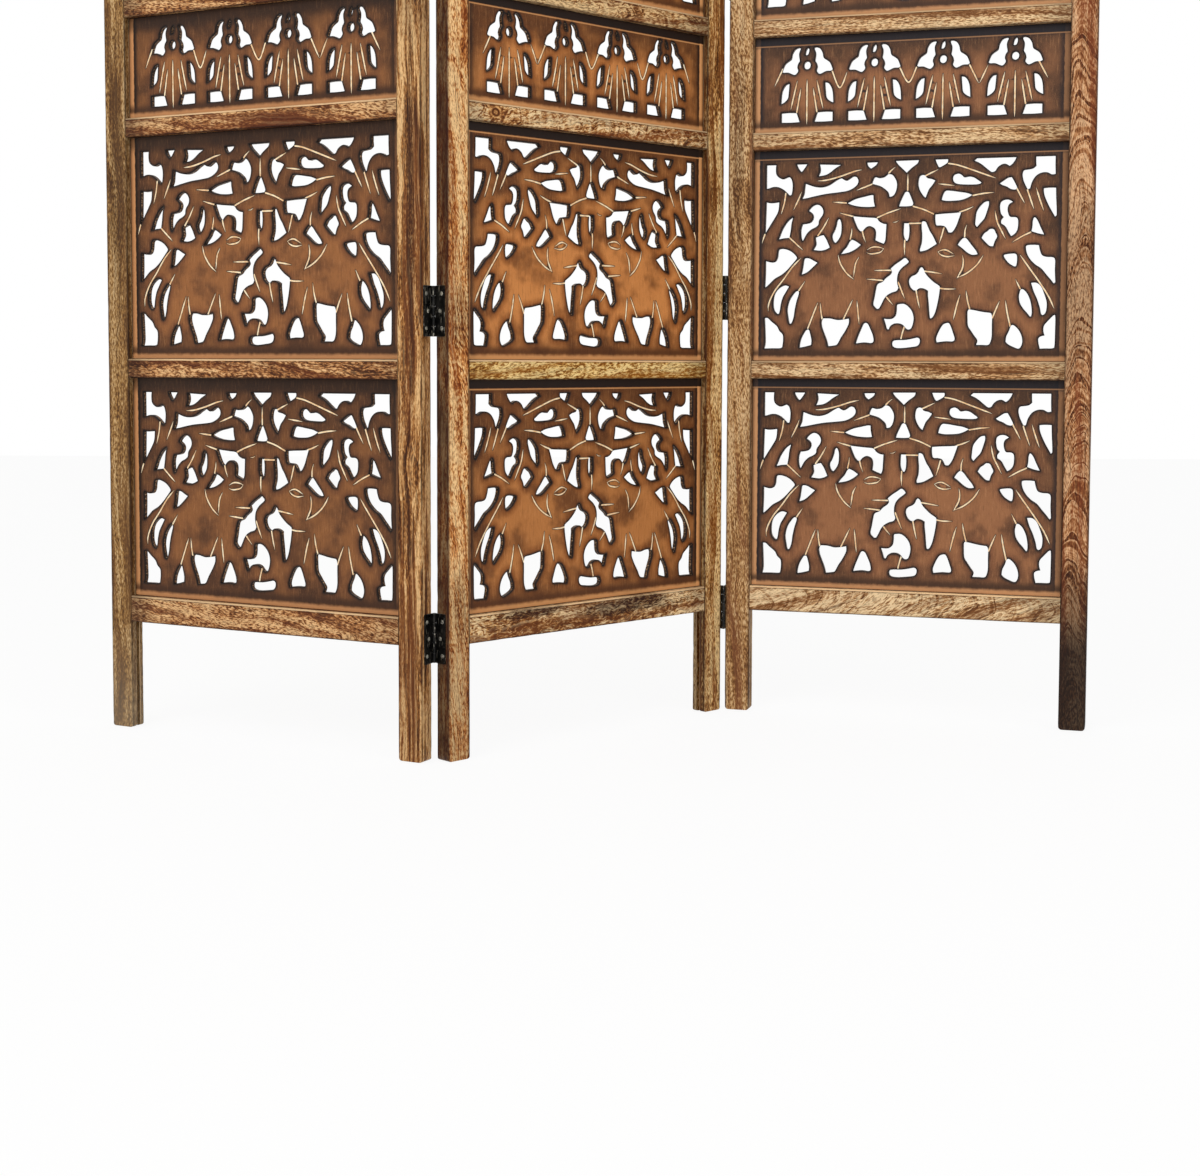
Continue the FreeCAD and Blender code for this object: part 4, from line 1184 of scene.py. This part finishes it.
# a rounded iron tube on every point
knuckleNodes = grownTree("hingeKnuckles", {
    "Barrel Radius": "Float", "Barrel Length": "Float", "Finish": "Material",
}, [
    ("half", mathNode, {"operation": "MULTIPLY"}, {0: "Barrel Length", 1: 0.5}),
    ("minus", mathNode, {"operation": "MULTIPLY"}, {0: "Barrel Length", 1: -0.5}),
    ("low", joinNode, {}, {2: "minus"}),
    ("high", joinNode, {}, {2: "half"}),
    ("line", "GeometryNodeCurvePrimitiveLine", {}, {"Start": "low", "End": "high"}),
    ("fine", "GeometryNodeResampleCurve", {}, {"Curve": "line", "Count": 19}),
    ("factor", "GeometryNodeSplineParameter", {}, {}),
    ("double", mathNode, {"operation": "MULTIPLY_ADD"}, {0: "factor", 1: 2.0, 2: -1.0}),
    ("size", mathNode, {"operation": "ABSOLUTE"}, {0: "double"}),
    ("steep", mathNode, {"operation": "POWER"}, {0: "size", 1: 10.0}),
    ("shrink", mathNode, {"operation": "MULTIPLY_ADD"}, {0: "steep", 1: -0.26, 2: 1.0}),
    ("radius", "GeometryNodeSetCurveRadius", {}, {"Curve": "fine", "Radius": "shrink"}),
    ("circle", "GeometryNodeCurvePrimitiveCircle", {}, {"Resolution": 20, "Radius": "Barrel Radius"}),
    ("width", "GeometryNodeInputRadius", {}, {}),
    ("tube", "GeometryNodeCurveToMesh", {},
     {"Curve": "radius", "Profile Curve": "circle", "Scale": "width", "Fill Caps": True}),
    *planted("tube"),
])
# a low domed head with a slot on every point, facing along the point's stored direction
screwNodes = grownTree("hingeScrews", {
    "Head Radius": "Float", "Head Height": "Float", "Slot Width": "Float", "Seed": "Int",
    "Finish": "Material",
}, [
    ("ball", "GeometryNodeMeshUVSphere", {}, {"Segments": 20, "Rings": 10, "Radius": 1.0}),
    ("flat", joinNode, {}, {0: "Head Radius", 1: "Head Radius", 2: "Head Height"}),
    ("dome", "GeometryNodeTransform", {}, {"Geometry": "ball", "Scale": "flat"}),
    ("long", mathNode, {"operation": "MULTIPLY"}, {0: "Head Radius", 1: 1.7}),
    ("slotSize", joinNode, {}, {0: "long", 1: "Slot Width", 2: "Head Height"}),
    ("bar", "GeometryNodeMeshCube", {}, {"Size": "slotSize"}),
    ("lift", joinNode, {}, {2: "Head Height"}),
    ("slot", "GeometryNodeTransform", {}, {"Geometry": "bar", "Translation": "lift"}),
    ("cut", "GeometryNodeMeshBoolean", {"operation": "DIFFERENCE"}, {"Mesh 1": "dome", "Mesh 2": "slot"}),
    ("way", "GeometryNodeInputNamedAttribute", {"data_type": "FLOAT_VECTOR"}, {"Name": "facing"}),
    ("align", "FunctionNodeAlignRotationToVector", {"axis": "Z"}, {"Vector": "way"}),
    ("turn", "FunctionNodeRandomValue", {"data_type": "FLOAT"}, {2: 0.0, 3: math.pi, "Seed": "Seed"}),
    ("spin", joinNode, {}, {2: "turn"}),
    ("spun", "FunctionNodeEulerToRotation", {}, {0: "spin"}),
    ("both", "FunctionNodeRotateRotation", {"rotation_space": "LOCAL"}, {0: "align", 1: "spun"}),
    *planted("cut", {"Rotation": "both"}),
])


def grownMesh(name, places, group, inputs, facing=None):
    # Runs a node group over the places and returns the plain mesh it makes.
    numbers = {} if facing is None else {"facing": [tuple(facing)] * len(places)}
    holder = linked(name + "_points", meshFrom(name + "_points", places, [], numbers))
    modifier = holder.modifiers.new("grow", "NODES")
    modifier.node_group = group
    identifiers = {item.name: item.identifier for item in group.interface.items_tree
                   if item.in_out == "INPUT"}
    for label, value in inputs.items():
        modifier[identifiers[label]] = value
    bpy.context.view_layer.update()
    evaluated = holder.evaluated_get(bpy.context.evaluated_depsgraph_get())
    grown = bpy.data.meshes.new_from_object(evaluated)
    holder.modifiers.remove(modifier)
    bpy.data.objects.remove(holder)
    return grown


def hingeCentres(fold):
    end, inner = hinge["heights"][fold]
    return [end, inner, totalHeight - inner, totalHeight - end]


# For each node: fold, panel, which side of the pin its stile is, whether it lies behind the
# pin, its knuckles and its body.
leafGroups = {
    "left_fold_outer_leaves": ("left_fold", "left", -1, -1, (0, 2, 4), "left_panel"),
    "left_fold_inner_leaves": ("left_fold", "middle", 1, -1, (1, 3), "middle_panel"),
    "right_fold_inner_leaves": ("right_fold", "middle", -1, 1, (0, 2, 4), "middle_panel"),
    "right_fold_outer_leaves": ("right_fold", "right", 1, 1, (1, 3), "right_panel"),
}


def foldMatrix(fold, side):
    return Matrix.Translation(pinAt[fold]) @ turnOf(side)


def leafOutline(knuckles):
    # The plate seen face on: out from the pin, and up. Fingers reach into its own knuckles.
    reach, inner, top = screen["knuckleStandoff"], hinge["leafInner"], hinge["length"]
    share, gap = top / hinge["knuckles"], hinge["fingerGap"]
    outline = [] if 0 in knuckles else [(reach, 0.0)]
    for k in knuckles:
        start, end = k * share + gap, (k + 1) * share - gap
        if len(outline) > 1:
            outline.append((reach, outline[-1][1]))
        if outline:
            outline.append((reach, start))
        outline += [(inner, start), (inner, end)]
    if hinge["knuckles"] - 1 not in knuckles:
        outline += [(reach, outline[-1][1]), (reach, top)]
    outer, clip = reach + hinge["leafWidth"], hinge["clip"]
    return outline + [(outer - clip, top), (outer - clip * 0.3, top - clip * 0.3), (outer, top - clip),
                      (outer, clip), (outer - clip * 0.3, clip * 0.3), (outer - clip, 0.0)]


def ironPiece(name, made, *looks):
    bmesh.ops.recalc_face_normals(made, faces=made.faces)
    mesh = bpy.data.meshes.new(name)
    made.to_mesh(mesh)
    made.free()
    mesh.materials.clear()
    return pieceFrom(name, mesh, hinge["sharpAngle"], *looks)


def makeLeafGroup(node, fold, side, across, behind, knuckles):
    matrix = foldMatrix(fold, side)
    near = hinge["leafGap"] / 2
    share = hinge["length"] / hinge["knuckles"]
    outline = leafOutline(knuckles)
    count = len(outline)
    made = bmesh.new()
    centres = []
    for centre in hingeCentres(fold):
        low = centre - hinge["length"] / 2
        rings = [[made.verts.new((across * x, behind * out, low + up)) for out, up in outline]
                 for x in (near, near + hinge["leafThickness"])]
        made.faces.new(rings[0])
        made.faces.new(list(reversed(rings[1])))
        for i in range(count):
            j = (i + 1) % count
            made.faces.new((rings[0][j], rings[0][i], rings[1][i], rings[1][j]))
        centres += [matrix @ Vector((0, 0, low + (k + 0.5) * share)) for k in knuckles]
    bmesh.ops.recalc_face_normals(made, faces=made.faces)
    rims = [edge for edge in made.edges if edge.calc_face_angle(0) > hinge["rimAngle"]]
    bmesh.ops.bevel(made, geom=rims, offset=hinge["rimBevel"], segments=1, affect="EDGES",
                    clamp_overlap=True)
    made.transform(matrix)
    grown = grownMesh(node, centres, knuckleNodes, {
        "Barrel Radius": hinge["knuckleRadius"], "Barrel Length": share - hinge["knuckleGap"],
        "Finish": knuckleLook,
    })
    plateFaces = len(made.faces)
    made.from_mesh(grown)
    made.faces.ensure_lookup_table()
    for face in made.faces[plateFaces:]:
        face.material_index = 1
    return ironPiece(node + "_iron", made, leafLook, knuckleLook)


def makeScrews(node, fold, side, across, behind):
    name = node.replace("leaves", "screws")
    matrix = foldMatrix(fold, side)
    places = []
    for centre in hingeCentres(fold):
        low = centre - hinge["length"] / 2
        for share, out in zip(hinge["screwShares"], hinge["screwReach"]):
            place = Vector((across * (hinge["leafGap"] / 2 + hinge["screwSink"]),
                            behind * (screen["knuckleStandoff"] + out), low + share * hinge["length"]))
            places.append(matrix @ place)
    facing = matrix.to_3x3() @ Vector((-across, 0, 0))
    mesh = grownMesh(name, places, screwNodes, {
        "Head Radius": hinge["screwHead"], "Head Height": hinge["screwHeight"],
        "Slot Width": hinge["screwSlot"], "Seed": hinge["screwSeed"], "Finish": screwLook,
    }, facing)
    mesh.name = name
    return linked(name, mesh)


def makePins(fold):
    # Turned pins with a slightly domed end, hidden in the barrels but for their ends.
    made = bmesh.new()
    radius, sides = hinge["pinRadius"], hinge["pinSides"]
    turns = [2 * math.pi * k / sides for k in range(sides)]
    for centre in hingeCentres(fold):
        low, high = centre - hinge["length"] / 2, centre + hinge["length"] / 2
        rings = []
        for r, z in ((0.0, low), (radius * 0.7, low + 0.0001), (radius, low + 0.0005),
                     (radius, high - 0.0005), (radius * 0.7, high - 0.0001), (0.0, high)):
            rings.append([made.verts.new((r * math.cos(turn), r * math.sin(turn), z))
                          for turn in (turns if r else turns[:1])])
        for a, b in zip(rings, rings[1:]):
            for k in range(sides):
                j = (k + 1) % sides
                loop = [a[k % len(a)], a[j % len(a)], b[j % len(b)], b[k % len(b)]]
                made.faces.new(list(dict.fromkeys(loop)))
    made.transform(Matrix.Translation(pinAt[fold]))
    return ironPiece(fold + "_pins_iron", made, knuckleLook)


woodLooks = {name: woodMaterial(name, look) for name, look in woods.items()}
boardLooks = {(side, kind): boardMaterial(f"{kind}_{side}", stains[side], screen[f"{kind}Height"])
              for side in stains for kind in ("elephant", "bird")}

elephantShape = elephantBoardShape()
print("elephant board drawn:", len(elephantShape[0]), "points", len(elephantShape[1]), "faces")
birdShape = birdBoardShape()
print("bird board drawn:", len(birdShape[0]), "points", len(birdShape[1]), "faces")

for sideNumber, side in enumerate(("left", "middle", "right")):
    body = f"{side}_panel"
    for number, which in enumerate(("left", "right")):
        piece = makeStile(side, which, sideNumber * 2 + number)
        piece.data.materials.append(woodLooks[f"{side}_{which}"])
        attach(piece, body)
        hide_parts(f"{side}_panel_{which}_stile")
    for index, railName in enumerate(railNames):
        piece = makeRail(side, index, sideNumber * 7 + index * 1.37)
        ownLook = f"{side}_{railName}"
        piece.data.materials.append(woodLooks[ownLook if ownLook in woods else f"{side}_rail"])
        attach(piece, body)
        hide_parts(f"{side}_panel_{railName}")
    for index, boardName in enumerate(boardNames):
        isBird = index == birdIndex
        piece = makeBoard(side, index, birdShape if isBird else elephantShape, sideNumber * 5 + index)
        piece.data.materials.append(boardLooks[side, "bird" if isBird else "elephant"])
        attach(piece, body)
        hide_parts(f"{side}_panel_{boardName}")
    print(side, "panel built")

for node, (fold, side, across, behind, knuckles, body) in leafGroups.items():
    piece = makeLeafGroup(node, fold, side, across, behind, knuckles)
    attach(piece, body)
    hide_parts(node)
    screws = makeScrews(node, fold, side, across, behind)
    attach(screws, body)
for fold in ("left_fold", "right_fold"):
    piece = makePins(fold)
    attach(piece, "middle_panel")
    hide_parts(f"{fold}_pins")
print("hinges built")


studio = {
    "floorSize": 14.0,
    "floorDrop": 0.0005,
    "white": 1.0,
    "floorGlow": 0.9,  # how far the floor goes to plain white for the camera
    "worldStrength": 0.66,
    "lampTarget": (0, 0, 0.7),
    "lamps": {  # place, side and power
        "key_lamp": ((-1.6, -2.6, 3.0), 2.2, 50.0),
        "fill_lamp": ((2.4, -2.4, 1.6), 2.0, 18.0),
    },
}


def whiteForCamera(tree, shader, kind, amount, output):
    # The picture's ground is plain white, and shows so in gloss and glass too.
    rays = tree.nodes.new("ShaderNodeLightPath").outputs
    camera, glossy, through = (Value(rays[f"Is {name} Ray"]) for name in ("Camera", "Glossy", "Transmission"))
    seen = maths("MAXIMUM", camera, maths("MAXIMUM", glossy, through))
    white = tree.nodes.new(kind)
    white.inputs["Color"].default_value = (1, 1, 1, 1)
    white.inputs["Strength"].default_value = studio["white"]
    feed(output, worked("ShaderNodeMixShader", {
        0: seen * amount, 1: Value(shader), 2: Value(white.outputs[0]),
    }))


def makeFloor():
    half, drop = studio["floorSize"] / 2, -studio["floorDrop"]
    corners = [(-half, -half, drop), (half, -half, drop), (half, half, drop), (-half, half, drop)]
    floor = linked("studio_floor", facedOut(meshFrom("studio_floor", corners, [(0, 1, 2, 3)])))
    material, tree, shader = newMaterial("pale_floor")
    mottle = cloud(Value(tree.nodes.new("ShaderNodeTexCoord").outputs["Object"]), 3, 2, 0.5)
    feed(shader.inputs["Base Color"], tint(mottle, "#f9f9f8", "#fcfcfb"))
    shader.inputs["Roughness"].default_value = 0.9
    output = next(node for node in tree.nodes if node.type == "OUTPUT_MATERIAL")
    whiteForCamera(tree, shader.outputs["BSDF"], "ShaderNodeEmission", studio["floorGlow"],
                   output.inputs["Surface"])
    floor.data.materials.append(material)


def makeWorld():
    world = bpy.data.worlds.new("soft_studio")
    bpy.context.scene.world = world
    world.use_nodes = True
    tree = world.node_tree
    tree.nodes.clear()
    output = tree.nodes.new("ShaderNodeOutputWorld")
    plain = tree.nodes.new("ShaderNodeBackground")
    plain.inputs["Color"].default_value = (1, 1, 1, 1)
    plain.inputs["Strength"].default_value = studio["worldStrength"]
    whiteForCamera(tree, plain.outputs[0], "ShaderNodeBackground", 1.0, output.inputs[0])


def makeLamps():
    for name, (place, size, power) in studio["lamps"].items():
        lamp = bpy.data.lights.new(name, "AREA")
        lamp.shape = "RECTANGLE"
        lamp.size = lamp.size_y = size
        lamp.energy = power
        holder = linked(name, lamp)
        holder.location = place
        toTarget = Vector(studio["lampTarget"]) - Vector(place)
        holder.rotation_euler = toTarget.to_track_quat("-Z", "Y").to_euler()


cameraPlace = {
    "place": (-0.0054560, -2.3849944, 0.5048248),
    "pitch": 3.4564677,  # degrees down
    "roll": 0.1835597,
    "yaw": -0.1295389,
    "focal": 1765.05,  # pixels of the 1200 wide picture
    "principalRow": 468.9,
    "picture": (1200, 1176),
    "sensor": 36.0,
    "clip": (0.05, 60.0),
}


def makeCamera():
    wide, high = cameraPlace["picture"]
    lens = bpy.data.cameras.new("photo_camera")
    lens.sensor_fit = "HORIZONTAL"
    lens.sensor_width = cameraPlace["sensor"]
    lens.lens = cameraPlace["focal"] / wide * cameraPlace["sensor"]
    lens.shift_y = -(high / 2 - cameraPlace["principalRow"]) / wide
    lens.clip_start, lens.clip_end = cameraPlace["clip"]
    camera = linked("photo_camera", lens)
    camera.matrix_world = (
        Matrix.Translation(cameraPlace["place"])
        @ Matrix.Rotation(math.radians(cameraPlace["yaw"]), 4, "Z")
        @ Matrix.Rotation(math.radians(90 - cameraPlace["pitch"]), 4, "X")
        @ Matrix.Rotation(math.radians(cameraPlace["roll"]), 4, "Z")
    )
    bpy.context.scene.camera = camera


makeFloor()
makeWorld()
makeLamps()
makeCamera()
bpy.context.scene.view_settings.view_transform = "Standard"
print("studio set")
